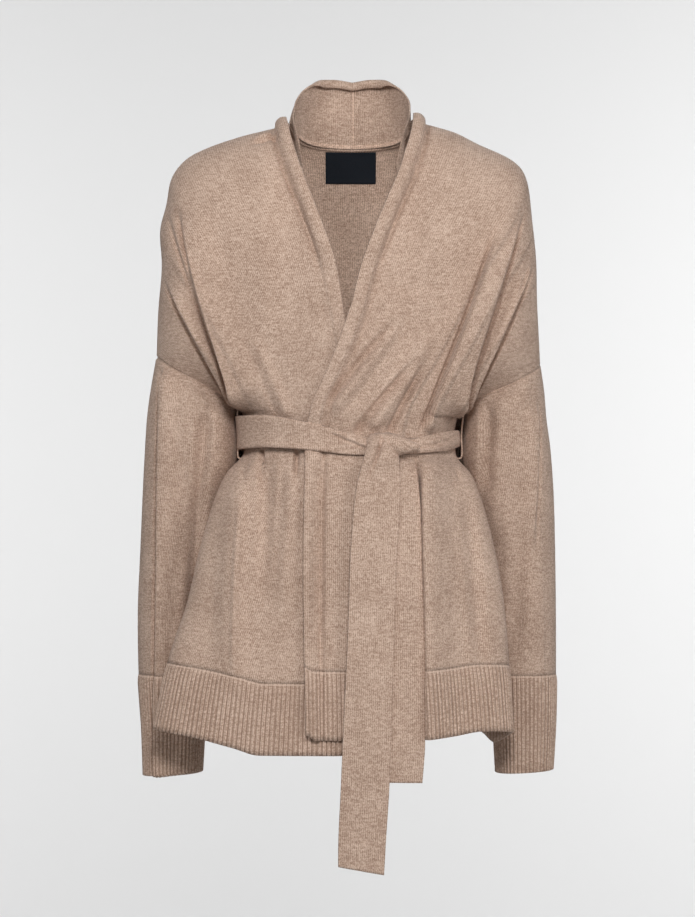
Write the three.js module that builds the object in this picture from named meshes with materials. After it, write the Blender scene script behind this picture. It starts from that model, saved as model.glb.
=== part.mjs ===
// Belted wrap cardigan in fine knit: shawl collar, drop shoulders, ribbed cuffs and hem, tied soft belt.
// Millimetres. +X is the wearer's left, the front faces -Y, +Z is up, the origin is at the base of the neck.
import * as THREE from "three";

// Cloth and seams
const KNIT = 2.2;
const BELT_KNIT = 3.0;
const LABEL_KNIT = 0.8;
const SEAM_GAP = 0.3;
const RIB_PITCH = 4.9;
const RIB_RISE = 1.1;

// Heights and layers
const WAIST_TOP = -316;
const HEM_LEVEL = -680;
const HEM_RIB = 76;
const SKIRT_LEVELS = [-338, -361, -386, -422, -475, -540, HEM_LEVEL + HEM_RIB];
const NECK_SHIFT = 3;

// How finely lines and rings are worked out
const CURVE_STEPS = 80;
const EDGE_STEPS = 40;
const SHOULDER_STEPS = 30;
const NECK_STEPS = 12;
const RING_ARC = 20;
const RING_SIDE = 8;
const RING_SOFTENING = 4;
const SEAM_INDEX = RING_ARC + RING_SIDE;

// Rows and columns of the panels
const PANEL_ROWS = 13;
const BACK_COLUMNS = 30;

// Columns of a front from its free edge: close together under the rolled edge, then even
const ROLL_COLUMNS = [0, 0.012, 0.03, 0.052, 0.075, 0.1];
const WIDE_COLUMNS = 14;

// Shoulder line of each side as seen from the front, from the neck to the top of the armhole
const SHOULDER = {
  right: [
    { out: 69, up: 13 },
    { out: 80, up: 8 },
    { out: 96, up: 4 },
    { out: 127, up: -4 },
    { out: 162, up: -16 },
    { out: 186, up: -29 },
    { out: 202, up: -50 },
    { out: 208, up: -80 },
    { out: 215, up: -110 },
    { out: 213, up: -150 },
    { out: 217, up: -200 },
    { out: 219, up: -250 },
  ],
  left: [
    { out: 69, up: 17 },
    { out: 80, up: 13 },
    { out: 97, up: 8 },
    { out: 120, up: 1 },
    { out: 144, up: -11 },
    { out: 184, up: -30 },
    { out: 200, up: -52 },
    { out: 206, up: -97 },
    { out: 210, up: -140 },
    { out: 211, up: -190 },
    { out: 215, up: -257 },
  ],
};

// Armhole seam of each side as seen from the front, down to the underarm
const ARMHOLE = {
  right: [
    { out: 219, up: -250 },
    { out: 213, up: -255 },
    { out: 197, up: -266 },
    { out: 170, up: -280 },
    { out: 146, up: -296 },
    { out: 122, up: -315 },
  ],
  left: [
    { out: 215, up: -257 },
    { out: 210, up: -266 },
    { out: 186, up: -280 },
    { out: 159, up: -292 },
    { out: 141, up: -302 },
    { out: 123, up: -315 },
  ],
};
const ARMHOLE_TOP_Y = 15;
const UNDERARM = { ease: 0.2, points: 5 };

// Room for the upper arm in front and behind, over the outer columns of a panel
const ARM = { front: 64, back: 62, from: 0.35, early: 0.75 };
const BACK_ARCH = 7;
const SIDE_BLEND = { from: 45, to: 100 };

// Free edge of each front, at places across (x) for each height; the left front laps over the right one
const FREE_EDGE = {
  right: [
    { up: 13, x: -69 },
    { up: 0, x: -66 },
    { up: -12, x: -63.5 },
    { up: -26, x: -59 },
    { up: -41, x: -54 },
    { up: -63, x: -46 },
    { up: -103, x: -31 },
    { up: -150, x: -16 },
    { up: -217, x: -5 },
    { up: -265, x: 4 },
    { up: -316, x: 12 },
    { up: -360, x: 20 },
    { up: -500, x: 42 },
    { up: -690, x: 60 },
  ],
  left: [
    { up: 17, x: 69 },
    { up: 4, x: 68 },
    { up: -10, x: 65 },
    { up: -28, x: 59 },
    { up: -46, x: 53.5 },
    { up: -76, x: 41 },
    { up: -119, x: 24 },
    { up: -157, x: 11 },
    { up: -198, x: 1 },
    { up: -232, x: -10 },
    { up: -268, x: -24 },
    { up: -316, x: -43 },
    { up: -360, x: -48 },
    { up: -500, x: -51 },
    { up: -690, x: -48 },
  ],
};

// Level rings of the waist and skirt: the front corner of each side, the side seam behind it, front and back
const RINGS = [
  { up: -316, right: 122, left: 123, cornerY: 0, seam: 120, seamY: 12, front: -106, back: 100 },
  { up: -340, right: 118, left: 119, cornerY: -2, seam: 116, seamY: 12, front: -101, back: 97 },
  { up: -361, right: 120, left: 120, cornerY: -5, seam: 117, seamY: 10, front: -103, back: 98 },
  { up: -386, right: 140, left: 138, cornerY: -20, seam: 126, seamY: 4, front: -110, back: 103 },
  { up: -415, right: 153, left: 149, cornerY: -32, seam: 129, seamY: -4, front: -114, back: 106 },
  { up: -470, right: 169, left: 163, cornerY: -44, seam: 132, seamY: -10, front: -118, back: 109 },
  { up: -535, right: 184, left: 174, cornerY: -52, seam: 135, seamY: -15, front: -121, back: 111 },
  { up: -600, right: 205, left: 179, cornerY: -58, seam: 138, seamY: -19, front: -124, back: 113 },
  { up: -680, right: 221, left: 183, cornerY: -62, seam: 141, seamY: -23, front: -127, back: 115 },
];
const RING_ROUND = 2.3;

// Height of the hem along each panel, from the free edge of a front, or the left seam of the back, to its end
const HEM = {
  right: [
    { share: 0, up: -684 },
    { share: 0.2, up: -692 },
    { share: 0.41, up: -692 },
    { share: 0.49, up: -684 },
    { share: 0.63, up: -672 },
    { share: 0.77, up: -667 },
    { share: 1, up: -668 },
  ],
  left: [
    { share: 0, up: -668 },
    { share: 0.04, up: -675 },
    { share: 0.35, up: -675 },
    { share: 0.52, up: -671 },
    { share: 0.62, up: -667 },
    { share: 0.8, up: -671 },
    { share: 1, up: -668 },
  ],
  back: [
    { share: 0, up: -668 },
    { share: 0.5, up: -674 },
    { share: 1, up: -668 },
  ],
};

// Folds of the body as seen from the front: a crest from (x, up) to (toX, toUp), bowed outwards by bow,
// raised by rise, with its slope towards the middle and its slope towards the sleeve
const FOLDS = [
  { x: -189, up: -84, toX: -118, toUp: -316, bow: 10, rise: 7, middle: 34, sleeve: 12 },
  { x: -205, up: -80, toX: -123, toUp: -312, bow: 4, rise: 5, middle: 12, sleeve: 12 },
  { x: -210, up: -160, toX: -127, toUp: -314, bow: 4, rise: 8, middle: 14, sleeve: 12 },
  { x: 171, up: -96, toX: 92, toUp: -320, bow: 6, rise: 6, middle: 12, sleeve: 40 },
  { x: 195, up: -82, toX: 120, toUp: -318, bow: 2, rise: 8, middle: 30, sleeve: 12 },
  { x: 206, up: -142, toX: 126, toUp: -314, bow: 4, rise: 8, middle: 16, sleeve: 12 },
  { x: -116, up: -222, toX: -72, toUp: -318, bow: 2, rise: 3, middle: 22, sleeve: 18 },
  { x: 96, up: -214, toX: 20, toUp: -320, bow: 4, rise: 5, middle: 22, sleeve: 24 },
  { x: 66, up: -190, toX: -20, toUp: -310, bow: 3, rise: 4, middle: 22, sleeve: 20 },
  { x: -122, up: -368, toX: -128, toUp: -640, bow: 4, rise: 6, middle: 22, sleeve: 26 },
  { x: -62, up: -366, toX: -76, toUp: -520, bow: 0, rise: 3, middle: 18, sleeve: 18 },
  { x: 100, up: -366, toX: 102, toUp: -700, bow: 0, rise: 4, middle: 12, sleeve: 46 },
];
const FOLD_END = 0.22;

// Folds of the back, as seen through from the front
const BACK_FOLDS = [
  { x: -186, up: -80, toX: -96, toUp: -318, bow: 8, rise: 6, middle: 34, sleeve: 16 },
  { x: 186, up: -84, toX: 98, toUp: -318, bow: 8, rise: 6, middle: 34, sleeve: 16 },
  { x: -60, up: -366, toX: -72, toUp: -690, bow: 4, rise: 5, middle: 26, sleeve: 26 },
  { x: 64, up: -366, toX: 70, toUp: -690, bow: 4, rise: 5, middle: 26, sleeve: 26 },
];

// Folds below the waist fade out on the side of the skirt, between these shares of a front's columns
const FOLD_SIDE = { from: 0.6, to: 0.8 };

// Rolled edge of the neckline: its width and height, the dip beside it and the heights where it fades out
const ROLL = { width: 17, lead: 3, rise: 7, dip: 1.6, dipWidth: 9, fadeFrom: -105, fadeTo: -165 };

// Where the left front laps over the right one: its height, and the places where that fades out
const LAP = { rise: 4, fromX: 78, toX: 116, fromUp: -196, toUp: -176 };

// Sleeve rings: height at the outer and the inner side, places across, front and back
const SLEEVE = {
  right: [
    { outerUp: -284, innerUp: -327, outer: 225, inner: 133, front: -53, back: 76 },
    { outerUp: -318, innerUp: -345, outer: 230, inner: 137, front: -50, back: 81 },
    { outerUp: -358, innerUp: -372, outer: 233, inner: 139, front: -44, back: 85 },
    { outerUp: -408, innerUp: -414, outer: 236, inner: 144, front: -33, back: 88 },
    { outerUp: -470, innerUp: -471, outer: 239, inner: 152, front: -22, back: 88 },
    { outerUp: -540, innerUp: -540, outer: 242, inner: 159, front: -16, back: 84 },
    { outerUp: -612, innerUp: -612, outer: 241, inner: 163, front: -14, back: 79 },
    { outerUp: -672, innerUp: -670, outer: 237, inner: 166, front: -12, back: 76 },
    { outerUp: -727, innerUp: -723, outer: 235, inner: 169, front: -10, back: 74 },
  ],
  left: [
    { outerUp: -290, innerUp: -327, outer: 220, inner: 133, front: -53, back: 76 },
    { outerUp: -322, innerUp: -345, outer: 223, inner: 137, front: -50, back: 81 },
    { outerUp: -358, innerUp: -372, outer: 228, inner: 139, front: -44, back: 85 },
    { outerUp: -408, innerUp: -414, outer: 232, inner: 144, front: -33, back: 88 },
    { outerUp: -470, innerUp: -471, outer: 234, inner: 152, front: -22, back: 88 },
    { outerUp: -540, innerUp: -540, outer: 235, inner: 159, front: -16, back: 84 },
    { outerUp: -612, innerUp: -612, outer: 235, inner: 162, front: -14, back: 79 },
    { outerUp: -668, innerUp: -668, outer: 234, inner: 164, front: -12, back: 76 },
    { outerUp: -720, innerUp: -724, outer: 231, inner: 167, front: -10, back: 74 },
  ],
};
const SLEEVE_ROUND = 2.4;
const SLEEVE_TURN = 1.35;
const CUFF_ROWS = 3;

// Neckline of the back, from its centre (share 0) to the shoulder seam (share NECK_SHARE)
const NECK_SHARE = 0.66;
const NECK_LINE = [
  { share: 0, out: 0, y: 63, up: -12 },
  { share: 0.2, out: 25, y: 61, up: -11 },
  { share: 0.35, out: 44, y: 52, up: -9 },
  { share: 0.48, out: 58, y: 38, up: -5 },
  { share: 0.6, out: 66, y: 20, up: 2 },
  { share: NECK_SHARE, out: 67, y: 10, up: 9 },
];

// Foot of the collar in front of the shoulder seam, inside and below the point where the seam meets the neck
const COLLAR_FOOT = [
  { share: NECK_SHARE, inward: 0, y: 0, down: 0 },
  { share: 0.74, inward: 3, y: -8, down: 4 },
  { share: 0.82, inward: 6, y: -24, down: 16 },
  { share: 0.91, inward: 8, y: -46, down: 38 },
  { share: 1, inward: 14, y: -71, down: 76 },
];

// Rim of the collar from the centre back to its end behind the neckline
const COLLAR_RIM = [
  { share: 0, out: 0, y: 67, up: 61 },
  { share: 0.2, out: 24, y: 65, up: 63 },
  { share: 0.35, out: 39, y: 57, up: 62 },
  { share: 0.48, out: 50, y: 42, up: 56 },
  { share: 0.6, out: 58, y: 26, up: 47 },
  { share: 0.72, out: 62, y: 8, up: 33 },
  { share: 0.82, out: 63, y: -12, up: 17 },
  { share: 0.92, out: 60, y: -36, up: -3 },
  { share: 1, out: 52.5, y: -64, up: -44 },
];
const RIM_ROLL = { radius: 5.6, steps: 5, turn: 225, thinner: 0.5, thinFrom: 0.5 };
const COLLAR_COLUMNS = 16;
const COLLAR_ROWS = 5;
const COLLAR_BULGE = 2;
const NECK_REACH = 66;

// Belt: heights of its edges for places across the front; it lies on the body and is one closed ring
const BELT = [
  { x: -124, top: -321, bottom: -358 },
  { x: -90, top: -319, bottom: -356 },
  { x: -43, top: -325, bottom: -359 },
  { x: 0, top: -338, bottom: -364 },
  { x: 22, top: -345, bottom: -365 },
  { x: 60, top: -347, bottom: -364 },
  { x: 95, top: -338, bottom: -361 },
  { x: 124, top: -334, bottom: -352 },
];
const BELT_BACK = { top: -325, bottom: -363, fromY: 0, toY: 50 };
const BELT_COLUMNS = 56;
const BELT_ROWS = 4;
const BELT_BULGE = 1.6;
const BELT_CLEAR = 2.2;
const BELT_LEVEL = -340;

// Knot: its middle, half its size each way, its turn in degrees and its mesh
const KNOT = { x: 48, y: -114.6, up: -355, halfWidth: 26, halfDepth: 4.8, halfHeight: 10.5, turn: -8 };
const KNOT_MESH = { around: 20, rows: 12 };

// The two hanging ends: edges across for each height, lying on what is behind them
const LONG_END = [
  { up: -333, from: 24, to: 46, lift: 8.6 },
  { up: -335, from: 22, to: 48, lift: 18 },
  { up: -341, from: 20, to: 50, lift: 25 },
  { up: -352, from: 18, to: 51, lift: 27.6 },
  { up: -366, from: 15, to: 54, lift: 27 },
  { up: -384, from: 10, to: 55, lift: 18 },
  { up: -405, from: 6, to: 55, lift: 14 },
  { up: -434, from: 3, to: 54, lift: 12.8 },
  { up: -478, from: 0, to: 51, lift: 12.8 },
  { up: -544, from: -2, to: 49, lift: 12.8 },
  { up: -634, from: -6, to: 46, lift: 13.6 },
  { up: -722, from: -10, to: 43, lift: 13.6 },
  { up: -801, from: -13, to: 38, lift: 13.6 },
  { up: -818, from: -13, to: 37, lift: 13.6 },
];
const SHORT_END = [
  { up: -368, from: 44, to: 71, lift: 10.4 },
  { up: -384, from: 36, to: 74, lift: 10 },
  { up: -434, from: 27, to: 78, lift: 8.4 },
  { up: -478, from: 26, to: 79, lift: 8.4 },
  { up: -598, from: 29, to: 82, lift: 9.2 },
  { up: -675, from: 29, to: 82, lift: 9.2 },
  { up: -720, from: 27, to: 79, lift: 9.2 },
];
const END_COLUMNS = 6;

// Belt loops: the cord, how far it stands out from the body, and its mesh
const LOOP = { cord: 1.1, y: -24, top: -315, bottom: -367, stand: 10.5, bow: 2 };
const LOOP_ROOT = { top: 7, bottom: 6.5, tuck: 3 };
const LOOP_MESH = { steps: 10, sides: 4 };

// Bare neck label
const LABEL = { width: 58, height: 35, x: 1, y: 60.2, top: -12.5, corner: 2, arc: 4 };

const CLOTH_COLOUR = 0xb59c87;
const RIB_COLOUR = 0xa8907c;
const LABEL_COLOUR = 0x14181e;
const KNIT_ROUGHNESS = 0.95;
const TAPE_ROUGHNESS = 0.8;

// Smooth value of a column of a table at a place along another column, without overshoot
function track(rows, at, key) {
  const t = rows.map((r) => r[at]);
  const v = rows.map((r) => r[key]);
  if (t[0] > t[t.length - 1]) {
    t.reverse();
    v.reverse();
  }
  const slope = t.slice(1).map((next, i) => (v[i + 1] - v[i]) / (next - t[i]));
  const tangent = t.map((_, i) => {
    const before = slope[Math.max(0, i - 1)];
    const after = slope[Math.min(slope.length - 1, i)];
    return before * after <= 0 ? 0 : (2 * before * after) / (before + after);
  });
  return (place) => {
    const p = THREE.MathUtils.clamp(place, t[0], t[t.length - 1]);
    let i = 0;
    while (i < t.length - 2 && p > t[i + 1]) i += 1;
    const h = t[i + 1] - t[i];
    const s = (p - t[i]) / h;
    const a = (1 + 2 * s) * (1 - s) ** 2;
    const b = s * s * (3 - 2 * s);
    const c = s * (1 - s) ** 2 * h;
    const d = s * s * (s - 1) * h;
    return a * v[i] + b * v[i + 1] + c * tangent[i] + d * tangent[i + 1];
  };
}

// Points spread along a polyline by its length
function along(points) {
  const sums = [0];
  for (let i = 1; i < points.length; i += 1) sums.push(sums[i - 1] + points[i].distanceTo(points[i - 1]));
  const total = sums[sums.length - 1];
  const at = (share) => {
    const want = THREE.MathUtils.clamp(share, 0, 1) * total;
    let i = 0;
    while (i < sums.length - 2 && want > sums[i + 1]) i += 1;
    return points[i].clone().lerp(points[i + 1], (want - sums[i]) / (sums[i + 1] - sums[i] || 1));
  };
  return { at, total, sums };
}

// A smooth line through the rows of a table seen from the front
const outline = (rows, sign) =>
  along(new THREE.SplineCurve(rows.map((r) => new THREE.Vector2(sign * r.out, r.up))).getPoints(CURVE_STEPS));

const SIGN = { right: -1, left: 1 };
const power = (value, exponent) => Math.sign(value) * Math.abs(value) ** exponent;
const ease = (value, from, to) => THREE.MathUtils.smoothstep(value, Math.min(from, to), Math.max(from, to));
const fade = (value, from, to) => (from < to ? 1 - ease(value, from, to) : ease(value, from, to));

const ringTrack = {};
for (const key of Object.keys(RINGS[0])) ringTrack[key] = track(RINGS, "up", key);
const edgeX = { right: track(FREE_EDGE.right, "up", "x"), left: track(FREE_EDGE.left, "up", "x") };
const hemUp = {
  right: track(HEM.right, "share", "up"),
  left: track(HEM.left, "share", "up"),
  back: track(HEM.back, "share", "up"),
};

// Half of a level ring, from the centre front round the corner and the side seam to the centre back
function halfRing(level, side) {
  const size = {};
  for (const key of Object.keys(ringTrack)) size[key] = ringTrack[key](level);
  const corner = size[side];
  const bend = 2 / RING_ROUND;
  const arc = (i) => {
    const angle = (i / RING_ARC) * (Math.PI / 2);
    return [power(Math.sin(angle), bend), power(Math.cos(angle), bend)];
  };
  const points = [];
  for (let i = 0; i <= RING_ARC; i += 1) {
    const [across, ahead] = arc(i);
    points.push([corner * across, size.cornerY + (size.front - size.cornerY) * ahead]);
  }
  for (let i = 1; i <= RING_SIDE; i += 1) {
    const share = i / RING_SIDE;
    points.push([corner + (size.seam - corner) * share, size.cornerY + (size.seamY - size.cornerY) * share]);
  }
  for (let i = 1; i <= RING_ARC; i += 1) {
    const [behind, across] = arc(i);
    points.push([size.seam * across, size.seamY + (size.back - size.seamY) * behind]);
  }
  const last = points.length - 1;
  const between = (a, p, b) => [0, 1].map((k) => 0.25 * a[k] + 0.5 * p[k] + 0.25 * b[k]);
  let soft = points;
  for (let pass = 0; pass < RING_SOFTENING; pass += 1)
    soft = soft.map((p, i) => (i === 0 || i === last ? p : between(soft[i - 1], p, soft[i + 1])));
  return soft.map(([x, y]) => new THREE.Vector2(SIGN[side] * x, y));
}

// The front of a ring from the free edge of one side to its side seam
function frontRing(level, side) {
  const other = side === "left" ? "right" : "left";
  const beyond = halfRing(level, other).slice(1, SEAM_INDEX).reverse();
  const whole = [...beyond, ...halfRing(level, side).slice(0, SEAM_INDEX + 1)];
  const edge = edgeX[side](level);
  const sign = SIGN[side];
  const first = whole.findIndex((p) => sign * p.x > sign * edge);
  const [a, b] = [whole[first - 1], whole[first]];
  const start = a.clone().lerp(b, (edge - a.x) / (b.x - a.x));
  return along([start, ...whole.slice(first)]);
}

// The back of a ring from the left side seam to the right one
function backRing(level) {
  const left = halfRing(level, "left").slice(SEAM_INDEX);
  const right = halfRing(level, "right").slice(SEAM_INDEX, -1).reverse();
  return along([...left, ...right]);
}

// Depth of the body's front at a place across and a height
function frontDepth(x, up) {
  const level = THREE.MathUtils.clamp(up, HEM_LEVEL, WAIST_TOP);
  const ring = halfRing(level, x < 0 ? "right" : "left");
  let i = 0;
  while (i < RING_ARC - 1 && Math.abs(ring[i + 1].x) < Math.abs(x)) i += 1;
  const share = (Math.abs(x) - Math.abs(ring[i].x)) / (Math.abs(ring[i + 1].x) - Math.abs(ring[i].x));
  return ring[i].y + (ring[i + 1].y - ring[i].y) * share;
}

// How far the folds raise the cloth at a place seen from the front
function foldRise(folds, x, up) {
  let rise = 0;
  for (const f of folds) {
    const line = new THREE.Vector2(f.toX - f.x, f.toUp - f.up);
    const length = line.length();
    line.divideScalar(length);
    const place = new THREE.Vector2(x - f.x, up - f.up);
    const share = place.dot(line) / length;
    if (share <= 0 || share >= 1) continue;
    const outward = Math.sign(f.x || f.toX);
    const across = outward * (place.x * -line.y + place.y * line.x) - f.bow * 4 * share * (1 - share);
    const slope = across > 0 ? f.sleeve : f.middle;
    const away = Math.abs(across) / slope;
    if (away >= 1) continue;
    const ends = ease(share, 0, FOLD_END) * fade(share, 1 - FOLD_END, 1);
    rise += f.rise * ends * Math.cos((away * Math.PI) / 2) ** 2;
  }
  return rise;
}

// Height of the rolled neckline edge at a distance from the free edge
function rollRise(distance, up) {
  const strength = ease(up, ROLL.fadeTo, ROLL.fadeFrom);
  if (distance < ROLL.width)
    return strength * ROLL.rise * Math.sin((Math.PI * (distance + ROLL.lead)) / (ROLL.width + ROLL.lead));
  const after = (distance - ROLL.width) / ROLL.dipWidth;
  return after < 1 ? -ROLL.dip * strength * Math.sin(Math.PI * after) : 0;
}

// Extra height of the left front where it laps over the right one
const lapRise = (x, up) => LAP.rise * fade(x, LAP.fromX, LAP.toX) * fade(up, LAP.fromUp, LAP.toUp);

// Share of the full depth that the body reaches at a share of the way down from the shoulder
const depthShare = (share) => Math.sqrt(1 - (1 - share) ** 4);
const armShare = (share) => Math.sqrt(Math.max(0, 1 - (2 * share ** ARM.early - 1) ** 2));
const rowShare = (row) => (row / PANEL_ROWS) ** 2;

// A point of a four-sided patch between its edge lines, seen from the front
function patch(inner, outer, top, bottom, u, v) {
  const corner = (a, b) => a.clone().multiplyScalar(b);
  return new THREE.Vector2()
    .addScaledVector(inner.at(v), 1 - u)
    .addScaledVector(outer.at(v), u)
    .addScaledVector(top.at(u), 1 - v)
    .addScaledVector(bottom.at(u), v)
    .sub(corner(inner.at(0), (1 - u) * (1 - v)))
    .sub(corner(outer.at(0), u * (1 - v)))
    .sub(corner(inner.at(1), (1 - u) * v))
    .sub(corner(outer.at(1), u * v));
}

const columnShares = [
  ...ROLL_COLUMNS,
  ...Array.from({ length: WIDE_COLUMNS }, (_, i) => 0.1 + (0.9 * (i + 1)) / WIDE_COLUMNS),
];

// Surface of one front, rows from the shoulder to the top of the hem rib, columns from free edge to side
function frontSurface(side, shares) {
  const sign = SIGN[side];
  const waist = frontRing(WAIST_TOP, side);
  const edgeLine = along(
    Array.from({ length: EDGE_STEPS + 1 }, (_, i) => {
      const up = THREE.MathUtils.lerp(SHOULDER[side][0].up, WAIST_TOP, i / EDGE_STEPS);
      return new THREE.Vector2(edgeX[side](up), up);
    }),
  );
  const bottom = { at: (u) => new THREE.Vector2(waist.at(u).x, WAIST_TOP) };
  const top = outline(SHOULDER[side], sign);
  const outer = outline(ARMHOLE[side], sign);
  const grid = [];
  for (let row = 0; row <= PANEL_ROWS; row += 1) {
    const v = rowShare(row);
    grid.push(
      shares.map((u) => {
        const seen = patch(edgeLine, outer, top, bottom, u, v);
        const shoulderY = ARMHOLE_TOP_Y * u;
        const blend = ease(Math.abs(seen.x), SIDE_BLEND.from, SIDE_BLEND.to);
        const fullDepth = THREE.MathUtils.lerp(frontDepth(seen.x, WAIST_TOP), waist.at(u).y, blend);
        const belly = (fullDepth - shoulderY) * depthShare(v);
        const arm = ARM.front * armShare(v) * ease(u, ARM.from, 1);
        return new THREE.Vector3(seen.x, shoulderY + belly - arm, seen.y);
      }),
    );
  }
  for (const level of SKIRT_LEVELS) grid.push(skirtRow(frontRing(level, side), level, hemUp[side], shares));
  return grid;
}

// A row of the skirt: the ring at a level, at heights that follow the hem
function skirtRow(ring, level, hem, shares) {
  return shares.map((u) => {
    const p = ring.at(u);
    const stretch = (hem(u) - WAIST_TOP) / (HEM_LEVEL - WAIST_TOP);
    return new THREE.Vector3(p.x, p.y, WAIST_TOP + (level - WAIST_TOP) * stretch);
  });
}

// Surface of the back, rows as on the fronts, columns from the left side to the right one
function backSurface(shares) {
  const waist = backRing(WAIST_TOP);
  const bottom = { at: (u) => new THREE.Vector2(waist.at(u).x, WAIST_TOP) };
  const topLine = backTop();
  const flat = (u) => new THREE.Vector2(topLine.at(u).x, topLine.at(u).z);
  const top = { at: flat };
  const left = outline(ARMHOLE.left, 1);
  const right = outline(ARMHOLE.right, -1);
  const grid = [];
  for (let row = 0; row <= PANEL_ROWS; row += 1) {
    const v = rowShare(row);
    grid.push(
      shares.map((u) => {
        const seen = patch(left, right, top, bottom, u, v);
        const start = topLine.at(u).y;
        const side = Math.abs(2 * u - 1);
        const belly = (waist.at(u).y - start) * depthShare(v);
        const arch = BACK_ARCH * Math.sin(Math.PI * v) * (1 - side);
        const arm = ARM.back * armShare(v) * ease(side, ARM.from, 1);
        return new THREE.Vector3(seen.x, start + belly + arch + arm, seen.y);
      }),
    );
  }
  for (const level of SKIRT_LEVELS) grid.push(skirtRow(backRing(level), level, hemUp.back, shares));
  return grid;
}

// Top edge of the back: left shoulder seam, neckline, right shoulder seam
function backTop() {
  const shoulder = (side) => {
    const line = outline(SHOULDER[side], SIGN[side]);
    return Array.from({ length: SHOULDER_STEPS + 1 }, (_, i) => {
      const p = line.at(i / SHOULDER_STEPS);
      return new THREE.Vector3(p.x, (ARMHOLE_TOP_Y * i) / SHOULDER_STEPS, p.y);
    });
  };
  const neck = [];
  for (let i = 1 - NECK_STEPS; i < NECK_STEPS; i += 1) {
    const share = (NECK_SHARE * Math.abs(i)) / NECK_STEPS;
    neck.push(collarPoint(NECK_LINE, share, i < 0 ? "left" : "right"));
  }
  return along([...shoulder("left").reverse(), ...neck, ...shoulder("right")]);
}

// A point of the neckline or the collar's rim, which are a little off the middle at the back
function collarPoint(rows, share, side) {
  const at = (key) => track(rows, "share", key)(share);
  const shift = NECK_SHIFT * fade(share, NECK_SHARE, 1);
  return new THREE.Vector3(shift + SIGN[side] * at("out"), at("y"), at("up"));
}

// A point of the collar's lower edge: on the back's neck edge as built, then below the front's edge
function collarFoot(share, side) {
  if (share > NECK_SHARE) {
    const at = (key) => track(COLLAR_FOOT, "share", key)(share);
    const neck = SHOULDER[side][0];
    return new THREE.Vector3(SIGN[side] * (neck.out - at("inward")), at("y"), neck.up - at("down"));
  }
  const line = backTop();
  const step = SHOULDER_STEPS + NECK_STEPS - (SIGN[side] * NECK_STEPS * share) / NECK_SHARE;
  const before = Math.min(Math.floor(step), line.sums.length - 2);
  const length = THREE.MathUtils.lerp(line.sums[before], line.sums[before + 1], step - before);
  const column = (length / line.total) * BACK_COLUMNS;
  const left = Math.floor(column);
  return panels.back[0][left].clone().lerp(panels.back[0][left + 1], column - left);
}

// Outward normals of a grid, whose columns run to the right as seen from outside
function gridNormals(grid, closed) {
  const rows = grid.length;
  const columns = grid[0].length;
  return grid.map((line, r) =>
    line.map((_, c) => {
      const up = grid[Math.max(0, r - 1)][c];
      const down = grid[Math.min(rows - 1, r + 1)][c];
      const before = closed ? grid[r][(c + columns - 1) % columns] : grid[r][Math.max(0, c - 1)];
      const after = closed ? grid[r][(c + 1) % columns] : grid[r][Math.min(columns - 1, c + 1)];
      return down.clone().sub(up).cross(after.clone().sub(before)).normalize();
    }),
  );
}

// Moves each point of a grid along its normal
function raise(grid, normals, amount) {
  return grid.map((line, r) => line.map((p, c) => p.clone().addScaledVector(normals[r][c], amount(p, r, c))));
}

// Draws back the edges of a grid that meet a neighbour by half the seam gap
function trim(grid, edges) {
  const rows = grid.length - 1;
  const columns = grid[0].length - 1;
  const pull = (p, q) => p.add(q.clone().sub(p).setLength(SEAM_GAP / 2));
  if (edges.includes("top")) grid[0].forEach((p, c) => pull(p, grid[1][c]));
  if (edges.includes("bottom")) grid[rows].forEach((p, c) => pull(p, grid[rows - 1][c]));
  if (edges.includes("start")) grid.forEach((line) => pull(line[0], line[1]));
  if (edges.includes("end")) grid.forEach((line) => pull(line[columns], line[columns - 1]));
  return grid;
}

// A closed wall: an outer grid, and an inner grid behind it that may have fewer columns
function wall(name, outer, inner, closed, material) {
  const position = [];
  const index = [];
  const place = (grid) =>
    grid.map((line) =>
      line.map((p) => {
        position.push(p.x, p.y, p.z);
        return position.length / 3 - 1;
      }),
    );
  const face = (grid, reverse) => {
    for (let r = 0; r + 1 < grid.length; r += 1) {
      const columns = grid[r].length;
      for (let c = 0; c < (closed ? columns : columns - 1); c += 1) {
        const n = (c + 1) % columns;
        const [a, b, d, e] = [grid[r][c], grid[r + 1][c], grid[r + 1][n], grid[r][n]];
        if (reverse) index.push(a, d, b, a, e, d);
        else index.push(a, b, d, a, d, e);
      }
    }
  };
  const rim = (lineA, lineB) => {
    let [i, j] = [0, 0];
    while (i + 1 < lineA.length || j + 1 < lineB.length) {
      const nextA = (i + 1) / (lineA.length - 1);
      const nextB = (j + 1) / (lineB.length - 1);
      if (j + 1 >= lineB.length || (i + 1 < lineA.length && nextA <= nextB)) {
        index.push(lineA[i], lineA[i + 1], lineB[j]);
        i += 1;
      } else {
        index.push(lineA[i], lineB[j + 1], lineB[j]);
        j += 1;
      }
    }
  };
  const out = place(outer);
  const back = place(inner);
  const last = out.length - 1;
  const loop = (line) => (closed ? [...line, line[0]] : line);
  face(out, false);
  face(back, true);
  rim(loop(out[0]), loop(back[0]));
  rim([...loop(out[last])].reverse(), [...loop(back[last])].reverse());
  if (!closed) {
    const column = (grid, c) => grid.map((line) => line[c < 0 ? line.length - 1 : c]);
    rim([...column(out, 0)].reverse(), [...column(back, 0)].reverse());
    rim(column(out, -1), column(back, -1));
  }
  const geometry = new THREE.BufferGeometry();
  geometry.setAttribute("position", new THREE.Float32BufferAttribute(position, 3));
  geometry.setIndex(index);
  geometry.computeVertexNormals();
  const mesh = new THREE.Mesh(geometry, material);
  mesh.name = name;
  return mesh;
}

// A plain wall of cloth behind a grid
function sheet(name, grid, normals, thickness, closed, material) {
  return wall(name, grid, raise(grid, normals, () => -thickness), closed, material);
}

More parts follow.
